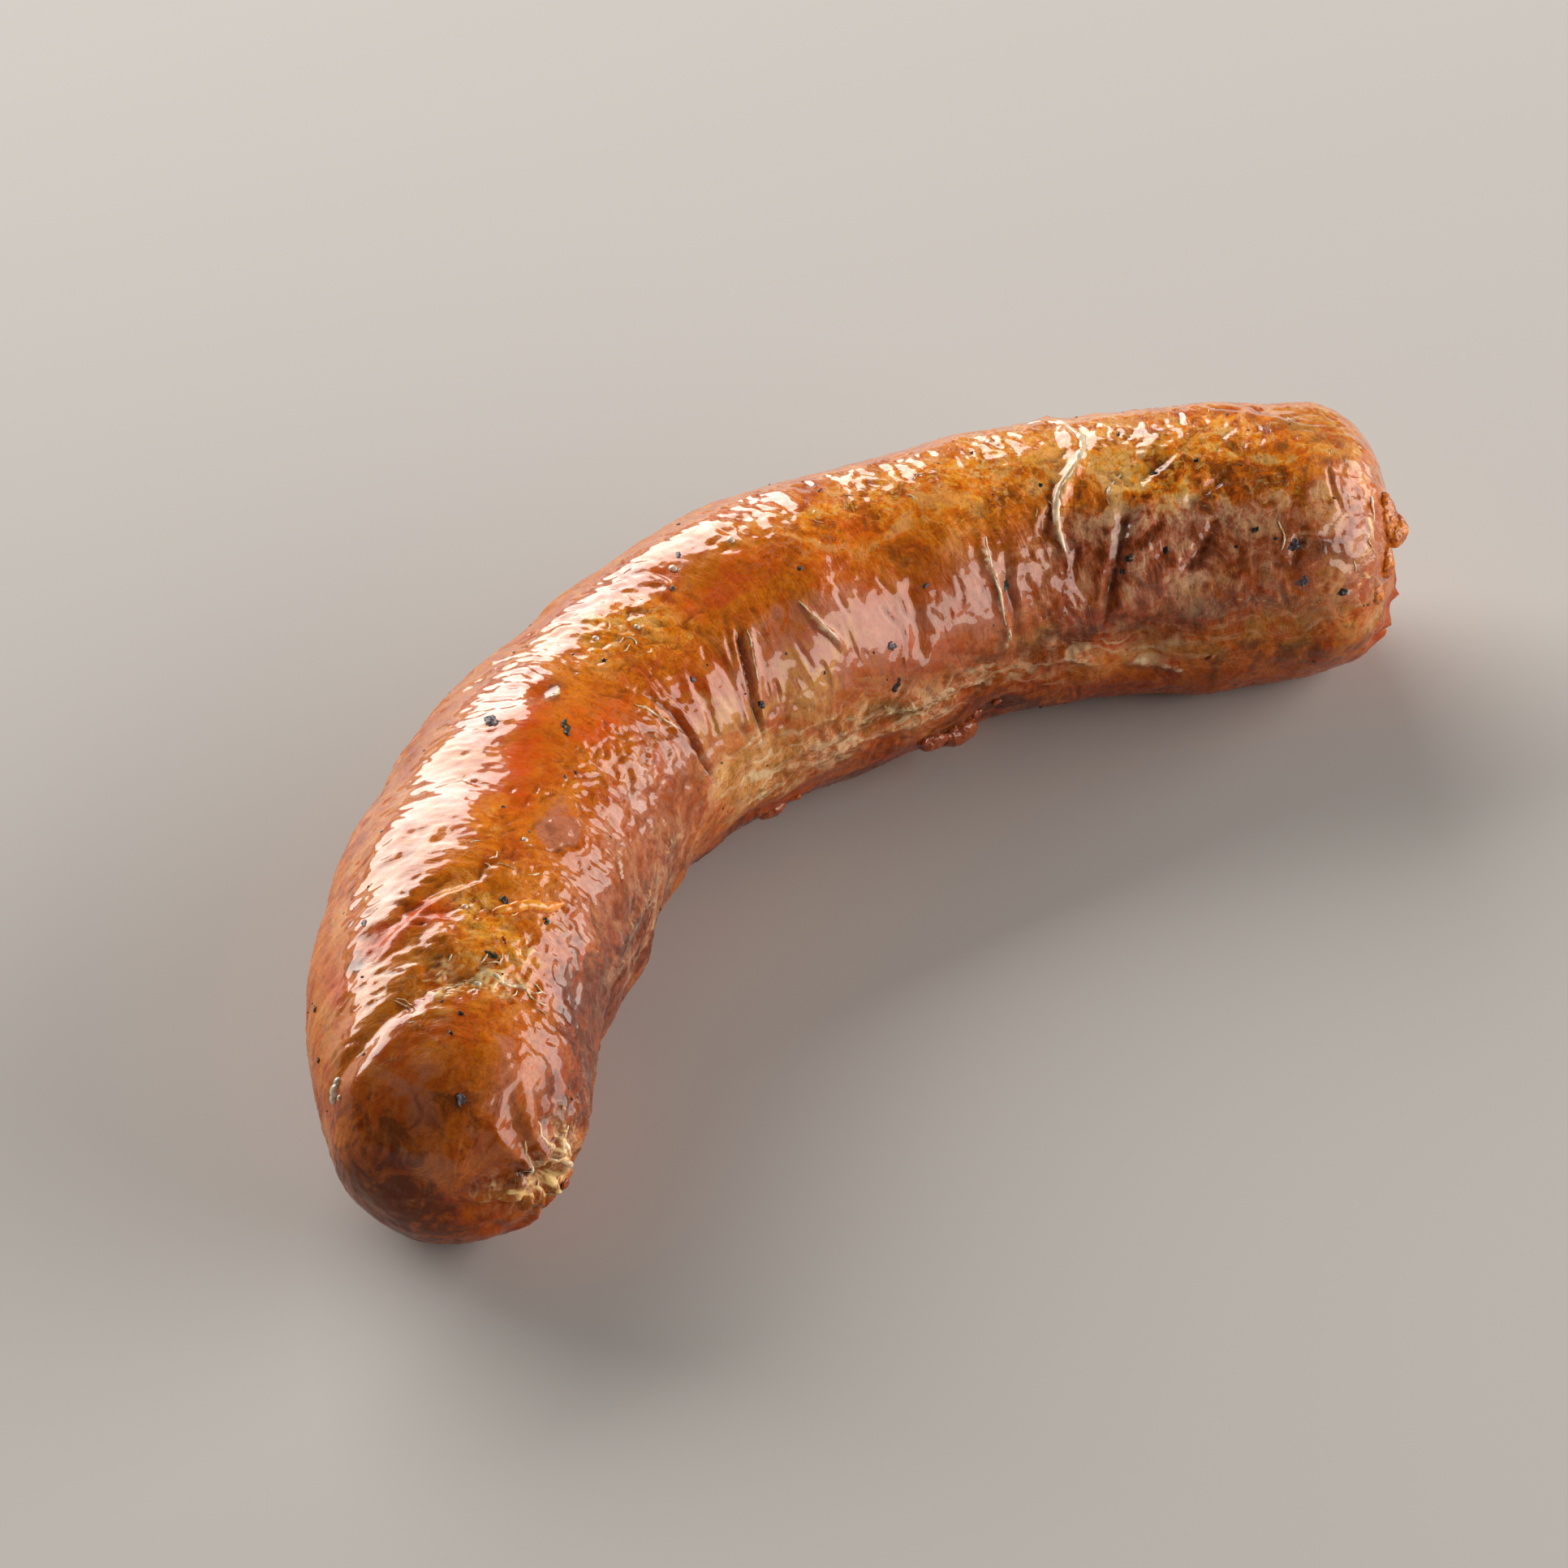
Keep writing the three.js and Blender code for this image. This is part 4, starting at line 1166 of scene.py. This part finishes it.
# %% [markdown]
# Meat that broke through
# Where the casing split, at the far tip and under the inside of the bend, the filling swelled out and
# cooked into small rough lumps. A particle effect would scatter them anywhere, but these are named places
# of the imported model, so each lump is a stretched ball at its own place, and one Geometry Nodes tree
# melts them together and roughens them all with the same crumb.

# %% Burst filling
BURSTS = [
    # at, angle, half sizes round, along and outwards, turn
    (201.1, 134, (3.4, 1.9, 1.3), 15), (201.3, 143, (2.6, 1.7, 2.2), -10),
    (200.5, 166, (2.4, 1.3, 1.0), -15), (199.2, 182, (2.0, 1.3, 0.9), 35),
    (137.4, 221, (2.4, 3.2, 1.8), 10), (133.8, 218, (1.9, 2.6, 1.3), -20), (107.5, 222, (1.2, 2.2, 0.9), 15),
]
CRUMBS = [
    # small bits of meat and crumbs, in the same way
    (132, 214, (0.9, 1.2, 0.9), 0), (140.5, 216, (1.0, 1.3, 0.8), 30), (136, 212, (0.7, 1.0, 0.7), 60),
    (177, 196, (0.55, 0.9, 0.6), 40), (111, 219, (0.7, 1.1, 0.6), 0), (144, 213, (0.6, 0.9, 0.5), 20),
    (8, 203, (1.0, 0.9, 0.7), 0), (26.5, 112, (0.5, 0.8, 0.4), 30), (129, 80, (0.5, 0.9, 0.4), 50),
]
BALL_STEPS = 3
CRUMB_CELL, INSIDE_BAND, SURFACE_LEVEL = 0.16 * MM, 1.0 * MM, 0.15
FAR_END_X = 70 * MM


def lumps_object(name, lumps):
    """Balls on the skin, stretched by their half sizes and turned about the outward direction."""
    shape = bmesh.new()
    for at, angle, half_sizes, turn in lumps:
        point, along, round_it, out = skin_place(at, angle)
        axes = Matrix((round_it, along, out)).transposed()
        stretch = axes @ Matrix.Rotation(math.radians(turn), 3, "Z") @ Matrix.Diagonal(half_sizes)
        place = Matrix.Translation(point * MM) @ stretch.to_4x4()
        bmesh.ops.create_icosphere(shape, subdivisions=BALL_STEPS, radius=MM, matrix=place)
    mesh = bpy.data.meshes.new(name)
    shape.to_mesh(mesh)
    shape.free()
    return new_object(name, mesh)

# %% Crumb tree
def crumb_tree():
    group, given, result = new_group("roughen", "GeometryNodeTree", {
        "Shape": "Geometry", "Depth": 0.0003, "Grain": 0.001, "Cell": 0.0002, "Seed": 0.0,
        "Finish": "Material",
    }, {"Shape": "Geometry"})
    cloud = add(group, "GeometryNodeMeshToVolume", {
        "Mesh": given["Shape"], "Density": 1.0, "Voxel Size": given["Cell"],
        "Interior Band Width": INSIDE_BAND,
    }, resolution_mode="VOXEL_SIZE").outputs[0]
    joined = add(group, "GeometryNodeVolumeToMesh", {
        "Volume": cloud, "Voxel Size": given["Cell"], "Threshold": SURFACE_LEVEL, "Adaptivity": 0.0,
    }, resolution_mode="VOXEL_SIZE").outputs[0]
    place = add(group, "GeometryNodeInputPosition").outputs[0]
    crumb = noise(group, place, divided(group, 1.0, given["Grain"]), 4.0,
                  {"W": given["Seed"], "Roughness": 0.65}, noise_dimensions="4D")["Fac"]
    rise = times(group, maths(group, "SUBTRACT", crumb, 0.5), given["Depth"])
    normal = add(group, "GeometryNodeInputNormal").outputs[0]
    return finished(group, moved(group, joined, normal, rise), given, result)


def filling_material(name, dark, light, shine):
    material, tree, shader = new_material(name, {
        "Roughness": 0.32, "Subsurface Weight": 0.1, "Subsurface Radius": (1.0, 0.4, 0.15),
        "Subsurface Scale": 1.0 * MM, "Coat Weight": shine, "Coat Roughness": 0.1,
    })
    place = add(tree, "ShaderNodeTexCoord").outputs["Object"]
    grain = group_outputs(tree, meat_grain, {"Place": place, "Size": 1.4 * MM})
    colour = blend_colours(tree, grain["Patches"], tone(dark), tone(light))
    # The burst meat is painted darker red-brown where the mask says.
    colour = paint(tree, colour, attribute(tree, "darker_off_far_end"), 0.85, "8A360E")
    bump = add(tree, "ShaderNodeBump", {"Strength": 0.6, "Distance": 0.15 * MM, "Height": grain["Height"]})
    tree.links.new(colour, shader.inputs["Base Color"])
    tree.links.new(bump.outputs["Normal"], shader.inputs["Normal"])
    return material

# %% Burst pieces
burst_filling = shaped_by(lumps_object("burst_filling", BURSTS + CRUMBS), crumb_tree(), {
    "Depth": 1.7 * MM, "Grain": 2.5 * MM, "Cell": CRUMB_CELL, "Seed": 5.0,
    "Finish": filling_material("browned_filling", "A44808", "EC8C1C", 0.6),
})
spots = np.empty(len(burst_filling.data.vertices) * 3)
burst_filling.data.vertices.foreach_get("co", spots)
# The burst meat and crumbs away from the far end are painted darker red-brown.
darker_off_far_end = np.where(spots[0::3] > FAR_END_X, 0.0, 1.0)
add_values(burst_filling.data, "darker_off_far_end", darker_off_far_end)
print("share of the burst meat that is charred:", round(float(darker_off_far_end.mean()), 2))
print("burst filling triangles:", count_triangles(burst_filling.data))

# %% [markdown]
# Edges of loose film
# Where the casing tore or was gathered its edge dries into a thin pale cord, seen best as the wavy line
# near the far end and as the torn ring behind the near end. Such an edge could be a bright line in the
# colour, but it stands up and throws a small shadow. A Geometry Nodes tree sweeps a small round section
# along each edge's path, tapers its ends and roughens it, and half of it stays sunk in the skin.

# %% Paths of the film edges and the torn shred
FOLD_EDGES = [
    # half thickness in millimetres, then the path as places along and round the link
    (0.72, [(157, 56), (160, 62), (162.4, 74), (163.4, 86), (163, 96), (161.2, 106), (158.6, 114)]),
    (0.5, [(161.6, 104), (159, 112), (157.2, 122), (156.4, 133), (157.4, 145)]),
    (0.22, [(145, 124), (144, 136), (143.5, 150), (143.6, 164), (144.6, 174)]),
    (0.16, [(114.8, 126), (115.6, 132), (117, 142), (119, 150)]),
]
FILM_EDGES = [
    (0.26, [(17.5, 84), (19.6, 92), (20.4, 101), (22, 107), (20.6, 114), (21.6, 122), (20.2, 131),
            (21, 138)]),
    (0.17, [(106.6, 127), (105, 138), (103.6, 148)]),
    (0.2, [(81.6, 122), (83.4, 132), (84.6, 144)]),
    (0.24, [(73.4, 95), (75, 98), (77, 96)]),
    (0.17, [(168, 108), (166, 114), (164.8, 121), (165.6, 127)]),
    (0.2, [(186.4, 136), (187.2, 142), (186.4, 150)]),
    (0.35, [(2.4, 168), (4.6, 174), (6.4, 182), (6.8, 192), (5.6, 200)]),
    (0.3, [(9.5, 170), (7.6, 178), (8, 188), (9, 198)]),
    (0.4, [(5.6, 148), (4.4, 158), (4.8, 168), (6.6, 176)]),
    (0.3, [(3.4, 150), (2.6, 166), (2.2, 184)]),
    (0.28, [(198.8, 122), (199.2, 132), (199, 140)]),
]
SHRED = [(0.8, [(30.4, 106), (31.8, 113), (33.6, 120), (34.6, 127), (37.4, 133)])]
LOOSE_ZONES = [
    # count, from at, to at, from angle, to angle, direction (0 is along), spread, length, half thickness
    (14, 17.6, 23, 80, 138, 88, 34, 2.2, 0.13), (3, 13, 18, 66, 92, 60, 30, 2.2, 0.13),
    (5, 1.4, 9, 150, 204, 20, 60, 2.0, 0.12), (8, 87, 99, 86, 112, 35, 45, 2.0, 0.12),
    (5, 148, 192, 66, 150, 70, 60, 2.2, 0.1), (8, 122, 142, 82, 104, 30, 45, 2.0, 0.12),
    (4, 195, 200, 110, 190, 88, 20, 2.4, 0.14), (6, 30, 44, 92, 120, 70, 35, 2.2, 0.12),
]

# %% Paths as lines on the skin
def loose_bits(seed):
    """Short crooked paths of torn film, drawn at random inside the zones."""
    draw = np.random.default_rng(seed)
    bits = []
    for count, low_at, high_at, low_angle, high_angle, direction, spread, length, thickness in LOOSE_ZONES:
        for _ in range(count):
            at, angle = draw.uniform(low_at, high_at), draw.uniform(low_angle, high_angle)
            course = math.radians(draw.normal(direction, spread))
            path = []
            for _ in range(4):
                path.append((at, angle))
                step = length * draw.uniform(0.2, 0.45)
                at += step * math.cos(course)
                angle += step * math.sin(course) / max(mm_per_degree(np.float64(at)), 0.1)
                course += math.radians(draw.normal(0, 28))
            bits.append((thickness * draw.uniform(0.6, 1.3), path))
    return bits


STEPS_PER_POINT, SMOOTHED = 8, 4
THIN_END, TAPER = 0.15, 0.6


def smoothed(values, steps):
    """Values read at even steps, each then averaged with its neighbours."""
    read = np.interp(steps, np.arange(len(values)), values)
    window = np.ones(2 * SMOOTHED + 1) / (2 * SMOOTHED + 1)
    return np.convolve(np.pad(read, SMOOTHED, "edge"), window, "valid")


def path_object(name, edges, lift):
    """A mesh of line pieces: each point keeps how thick its cord is there."""
    points, pairs, thickness = [], [], []
    for half_thickness, path in edges:
        steps = np.linspace(0, len(path) - 1, STEPS_PER_POINT * len(path))
        at, angle = (smoothed(values, steps) for values in np.array(path, float).T)
        share = np.linspace(0, 1, len(at))
        taper = THIN_END + (1 - THIN_END) * np.sin(math.pi * share) ** TAPER
        thickness += list(half_thickness * taper)
        pairs += [(len(points) + i, len(points) + i + 1) for i in range(len(at) - 1)]
        points += (on_skin(at, angle, lift * half_thickness) * MM).tolist()
    mesh = bpy.data.meshes.new(name)
    mesh.from_pydata(points, pairs, [])
    add_values(mesh, "thickness", np.array(thickness) * MM)
    return new_object(name, mesh)

# %% Cord tree
SWELL_REACH, THINNEST = 5.0, 0.1


def cord_tree():
    group, given, result = new_group("film_cords", "GeometryNodeTree", {
        "Paths": "Geometry", "Sides": 8, "Unevenness": 0.6, "Lump size": 0.0015, "Seed": 0.0,
        "Finish": "Material",
    }, {"Cords": "Geometry"})
    place = add(group, "GeometryNodeInputPosition").outputs[0]
    lumps = noise(group, place, divided(group, 1.0, given["Lump size"]), 2.0, {"W": given["Seed"]},
                  noise_dimensions="4D")
    swell = times(group, maths(group, "SUBTRACT", lumps["Fac"], 0.5), given["Unevenness"])
    share = maths(group, "MAXIMUM", sloped(group, swell, SWELL_REACH, 1.0), THINNEST)
    radius = times(group, kept(group, "thickness"), share)
    sway = centred_vector(group, lumps["Color"])
    wavy = moved(group, given["Paths"], sway, times(group, given["Lump size"], given["Unevenness"]))
    curves = add(group, "GeometryNodeMeshToCurve", {"Mesh": wavy}).outputs[0]
    sized = add(group, "GeometryNodeSetCurveRadius", {"Curve": curves, "Radius": radius}).outputs[0]
    circle = {"Resolution": given["Sides"], "Radius": 1.0}
    section = add(group, "GeometryNodeCurvePrimitiveCircle", circle, mode="RADIUS").outputs[0]
    true_radius = add(group, "GeometryNodeInputRadius").outputs[0]
    swept = add(group, "GeometryNodeCurveToMesh", {
        "Curve": sized, "Profile Curve": section, "Scale": true_radius, "Fill Caps": True,
    }).outputs[0]
    return finished(group, swept, given, result)


film_cords = cord_tree()


def swept_cords(paths, unevenness, lump_size, seed, finish):
    return shaped_by(paths, film_cords, {
        "Unevenness": unevenness, "Lump size": lump_size * MM, "Seed": seed, "Finish": finish,
    })

# %% Film edges and the torn shred
fold_edges = swept_cords(path_object("fold_edges", FOLD_EDGES, -0.6), 0.3, 2.4, 4.0,
                         filling_material("stretched_film", "EBC38C", "FBEBD0", 0.9))
film_edges = swept_cords(path_object("film_edges", FILM_EDGES + loose_bits(17), -0.5), 0.45, 1.8, 7.0,
                         filling_material("dried_film", "E0A860", "FAEBCC", 0.8))
shred = swept_cords(path_object("torn_shred", SHRED, 0.3), 0.25, 1.6, 9.0,
                    filling_material("orange_shred", "F07406", "FFAE2C", 0.9))
print("film edge triangles:", count_triangles(film_edges.data))

# %% [markdown]
# Pepper and herbs
# Ground pepper, herb bits and mustard seed coats lie in and just under the film. The large ones have their
# own places, and the fine dust is scattered. Geometry Nodes set the same small chip on both kinds of point,
# turned and sized for each, so a chip can be improved once for all of them.

# %% Named chips
PEPPER, HERB, VEILED = 0.05, 0.5, 0.9
FLECKS = [
    # at, angle, half length, half width, turn, kind
    (66.5, 81, 1.2, 0.8, 40, VEILED), (68.5, 108, 1.5, 0.5, 30, HERB), (86, 102, 0.4, 0.35, 0, PEPPER),
    (102.5, 96, 0.5, 0.3, 50, VEILED), (126.5, 157, 0.7, 0.6, 0, VEILED), (126, 173, 1.0, 0.45, 60, PEPPER),
    (93.8, 132, 0.4, 0.35, 0, VEILED), (145, 149, 0.8, 0.6, 20, PEPPER), (167, 147, 0.6, 0.45, 30, PEPPER),
    (166, 152, 0.5, 0.4, 0, PEPPER), (172, 145, 0.5, 0.35, 70, PEPPER), (183.5, 140, 0.45, 0.4, 0, PEPPER),
    (188, 147, 0.95, 0.8, 10, VEILED), (189, 162, 0.8, 0.6, 45, VEILED), (194, 169, 0.6, 0.5, 0, PEPPER),
    (24, 107, 1.0, 0.5, 75, HERB), (33, 111, 0.9, 0.5, 20, PEPPER), (32.5, 128, 0.6, 0.4, 0, PEPPER),
    (4, 98, 0.9, 0.5, 15, VEILED), (171.5, 112, 0.4, 0.35, 0, PEPPER), (156, 111, 0.35, 0.3, 0, PEPPER),
    (27, 21, 0.5, 0.4, 0, PEPPER), (20, 18, 0.45, 0.35, 0, PEPPER), (50, 100, 0.3, 0.25, 0, PEPPER),
    (60, 116, 0.35, 0.25, 30, PEPPER), (62, 119, 0.3, 0.25, 0, PEPPER), (118, 118, 0.35, 0.3, 0, PEPPER),
    (134, 139, 0.4, 0.35, 0, VEILED), (186, 144, 0.35, 0.3, 0, PEPPER), (181, 146, 0.3, 0.25, 0, PEPPER),
    (11.5, 92, 0.4, 0.25, 30, PEPPER), (14.5, 96, 0.45, 0.25, 50, PEPPER), (177, 108, 0.4, 0.3, 0, PEPPER),
    (103, 156, 0.4, 0.5, 0, PEPPER), (107, 84, 0.7, 0.35, 65, VEILED), (31, 56, 0.7, 0.4, 0, VEILED),
]
DUST_DENSITY, DUST_SMALL, DUST_LARGE = 5200.0, 0.1 * MM, 0.26 * MM
CHIP_THICKNESS, CHIP_RAGGEDNESS, CHIP_BREAK = 0.11 * MM, 2600.0, 1.3


def fleck_points():
    rows = [skin_place(at, angle) for at, angle, *_ in FLECKS]
    mesh = bpy.data.meshes.new("spice_chips")
    mesh.from_pydata([tuple(row[0] * MM) for row in rows], [], [])
    for name, part in (("outward", 3), ("lengthwise_way", 1)):
        layer = mesh.attributes.new(name, "FLOAT_VECTOR", "POINT")
        layer.data.foreach_set("vector", np.array([row[part] for row in rows], np.float32).ravel())
    *_, half_length, half_width, turn, kind = np.array(FLECKS).T
    for name, values in (("half_length", half_length * MM), ("half_width", half_width * MM),
                         ("turn", np.radians(turn)), ("kind", kind)):
        add_values(mesh, name, values)
    return new_object("spice_chips", mesh)

# %% Dust and the turn of a chip
def chance(group, given, low, high, shift):
    """A random value for each point, from a seed of its own."""
    seed = maths(group, "ADD", given["Seed"], shift)
    node = add(group, "FunctionNodeRandomValue", {"Seed": seed}, data_type="FLOAT")
    numbers = {socket.name: socket for socket in [*node.inputs, *node.outputs] if socket.type == "VALUE"}
    plug(group, numbers["Min"], low)
    plug(group, numbers["Max"], high)
    return numbers["Value"]


def dust_points(group, given):
    """Points scattered over the casing, with a size, a turn and a kind each."""
    skin = add(group, "GeometryNodeObjectInfo", {"Object": given["Casing"]}).outputs["Geometry"]
    spread = add(group, "GeometryNodeDistributePointsOnFaces", {
        "Mesh": skin, "Density": given["Dust density"], "Seed": given["Seed"],
    }).outputs
    dust = keep(group, spread["Points"], "outward", spread["Normal"], "FLOAT_VECTOR")
    sizes = given["Smallest"], given["Largest"]
    ranges = {"half_length": sizes, "half_width": sizes, "turn": (0.0, 6.28), "kind": (0.0, 1.0)}
    for shift, (name, (low, high)) in enumerate(ranges.items(), 1):
        dust = keep(group, dust, name, chance(group, given, low, high, shift))
    return dust


def chip_turn(group):
    """Stands a chip on the skin, faces it along the link and turns it by its own angle."""
    upright = add(group, "FunctionNodeAlignRotationToVector", {
        "Vector": kept(group, "outward", "FLOAT_VECTOR"),
    }, axis="Z").outputs[0]
    facing = add(group, "FunctionNodeAlignRotationToVector", {
        "Rotation": upright, "Vector": kept(group, "lengthwise_way", "FLOAT_VECTOR"),
    }, axis="X", pivot_axis="Z").outputs[0]
    about_z = add(group, "FunctionNodeAxisAngleToRotation", {
        "Axis": (0, 0, 1), "Angle": kept(group, "turn"),
    }).outputs[0]
    return add(group, "FunctionNodeRotateRotation", {
        "Rotation": facing, "Rotate By": about_z,
    }, rotation_space="LOCAL").outputs[0]

# %% Chip tree
def chip_tree():
    group, given, result = new_group("spice_chips", "GeometryNodeTree", {
        "Named places": "Geometry", "Casing": "Object", "Dust density": 1000.0, "Smallest": 0.0001,
        "Largest": 0.0002, "Thickness": 0.0001, "Seed": 0, "Finish": "Material",
    }, {"Chips": "Geometry"})
    dust = dust_points(group, given)
    named_points = add(group, "GeometryNodeMeshToPoints", {"Mesh": given["Named places"]}).outputs[0]
    both = add(group, "GeometryNodeJoinGeometry")
    for source in (named_points, dust):
        group.links.new(source, both.inputs[0])
    chip = add(group, "GeometryNodeMeshIcoSphere", {"Radius": 1.0, "Subdivisions": 3}).outputs["Mesh"]
    size = joined_axes(group, kept(group, "half_length"), kept(group, "half_width"), given["Thickness"])
    chips = add(group, "GeometryNodeInstanceOnPoints", {
        "Points": both.outputs[0], "Instance": chip, "Rotation": chip_turn(group), "Scale": size,
    }).outputs[0]
    real = add(group, "GeometryNodeRealizeInstances", {"Geometry": chips}).outputs[0]
    place = add(group, "GeometryNodeInputPosition").outputs[0]
    ragged = centred_vector(group, noise(group, place, CHIP_RAGGEDNESS, 1.0)["Color"])
    broken = moved(group, real, ragged, times(group, kept(group, "half_width"), CHIP_BREAK))
    return finished(group, broken, given, result)

# %% Spice chips
def spice_material():
    material, tree, shader = new_material("pepper_and_herb", {"Roughness": 0.42})
    kind = attribute(tree, "kind")
    colour = blend_colours(tree, spread_range(tree, kind, 0.25, 0.5), tone("1E1612"), tone("3E3620"))
    colour = blend_colours(tree, spread_range(tree, kind, 0.55, 0.85), colour, tone("5A5058"))
    tree.links.new(colour, shader.inputs["Base Color"])
    return material


spice = shaped_by(fleck_points(), chip_tree(), {
    "Casing": casing, "Dust density": DUST_DENSITY, "Smallest": DUST_SMALL, "Largest": DUST_LARGE,
    "Thickness": CHIP_THICKNESS, "Seed": 12, "Finish": spice_material(),
})
print("spice triangles:", count_triangles(spice.data))

# %% [markdown]
# Drops of fat
# A few clear drops of hot fat stand in the fold behind the near end and on the top. Their near-white base
# colour is partly a painted glint. A fluid effect would make them slowly and each time a little differently,
# so each is a small smooth dome of its own.

# %% Fat drops
DROPS = [
    (12.4, 25, (1.0, 0.8, 0.65), 10), (12.9, 28.5, (0.65, 0.6, 0.5), 0), (12, 21.5, (0.75, 0.65, 0.5), 0),
    (10.6, 27, (0.4, 0.35, 0.3), 0), (20, 103, (0.5, 0.4, 0.35), 0), (31, 96, (0.4, 0.35, 0.3), 0),
    (89, 92, (0.45, 0.4, 0.35), 0), (94, 101, (0.4, 0.35, 0.3), 0), (113, 93, (0.6, 0.5, 0.35), 0),
    (105, 88, (0.65, 0.5, 0.35), 0), (45, 112, (0.4, 0.4, 0.3), 0),
]


def drop_material():
    # Painted highlight: the pale base colour partly makes the drops look like bright beads.
    return new_material("hot_fat_and_glint", {
        "Base Color": tone("FFEED2"), "Roughness": 0.05, "IOR": 1.47, "Transmission Weight": 0.3,
        "Coat Weight": 1.0, "Coat Roughness": 0.03,
    })[0]


drops = lumps_object("fat_drops", DROPS)
drops.data.materials.append(drop_material())
drops.data.shade_smooth()
print("fat drops:", len(DROPS))

# %% [markdown]
# Light and floor
# The photo was lit by a large white window behind the sausage on the left, which lays a broad highlight on
# its outside and top, and by a wide dimmer one on the right, which gives the inside its pale sheen.
# Two area lamps stand there. A plain pale floor and weak, slightly warm surroundings fill the rest.

# %% Lamps and surroundings
def lamp(name, azimuth, elevation, distance, width, height, brightness, colour):
    """An area lamp that looks at the sausage; azimuth is counted from +X towards +Y."""
    a, e = math.radians(azimuth), math.radians(elevation)
    place = Vector((math.cos(a) * math.cos(e), math.sin(a) * math.cos(e), math.sin(e))) * distance
    data = bpy.data.lights.new(name, "AREA")
    data.shape = "RECTANGLE"
    data.size, data.size_y = width, height
    data.energy = brightness * math.pi * width * height
    data.color = colour
    obj = bpy.data.objects.new(name, data)
    obj.matrix_world = Matrix.Translation(place) @ (-place).to_track_quat("-Z", "Y").to_matrix().to_4x4()
    bpy.context.scene.collection.objects.link(obj)


lamp("window_behind", 78, 27, 1.3, 1.5, 0.82, 6.7, (1.0, 0.94, 0.88))
lamp("window_right", -50, 19, 1.5, 2.5, 0.9, 4.6, (1.0, 0.93, 0.87))

world = bpy.data.worlds.new("soft_surroundings")
world.use_nodes = True
surroundings = world.node_tree.nodes["Background"]
surroundings.inputs["Color"].default_value = (1.0, 0.96, 0.90, 1.0)
surroundings.inputs["Strength"].default_value = 0.07
bpy.context.scene.world = world

# %% Floor
def make_floor(half_side):
    mesh = bpy.data.meshes.new("floor")
    corners = [(x * half_side, y * half_side, 0) for x, y in ((-1, -1), (1, -1), (1, 1), (-1, 1))]
    mesh.from_pydata(corners, [], [(0, 1, 2, 3)])
    values = {"Base Color": (0.56, 0.555, 0.54, 1.0), "Roughness": 0.95}
    mesh.materials.append(new_material("pale_floor", values)[0])
    return new_object("floor", mesh)


floor = make_floor(4.0)
bpy.context.scene.view_settings.view_transform = "Standard"

# %% [markdown]
# Joining the frame
# Each piece rides on the one body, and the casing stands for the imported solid. The pieces could be joined
# into one, but apart each keeps its own finish, so a finish can be changed without the others.

# %% Hand over
for piece, slot in (
    (casing, "casing"), (film_edges, "casing"), (fold_edges, "casing"), (drops, "casing"),
    (burst_filling, "filling"), (shred, "filling"), (spice, "spice"),
):
    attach(piece, "root")
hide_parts("sausage")
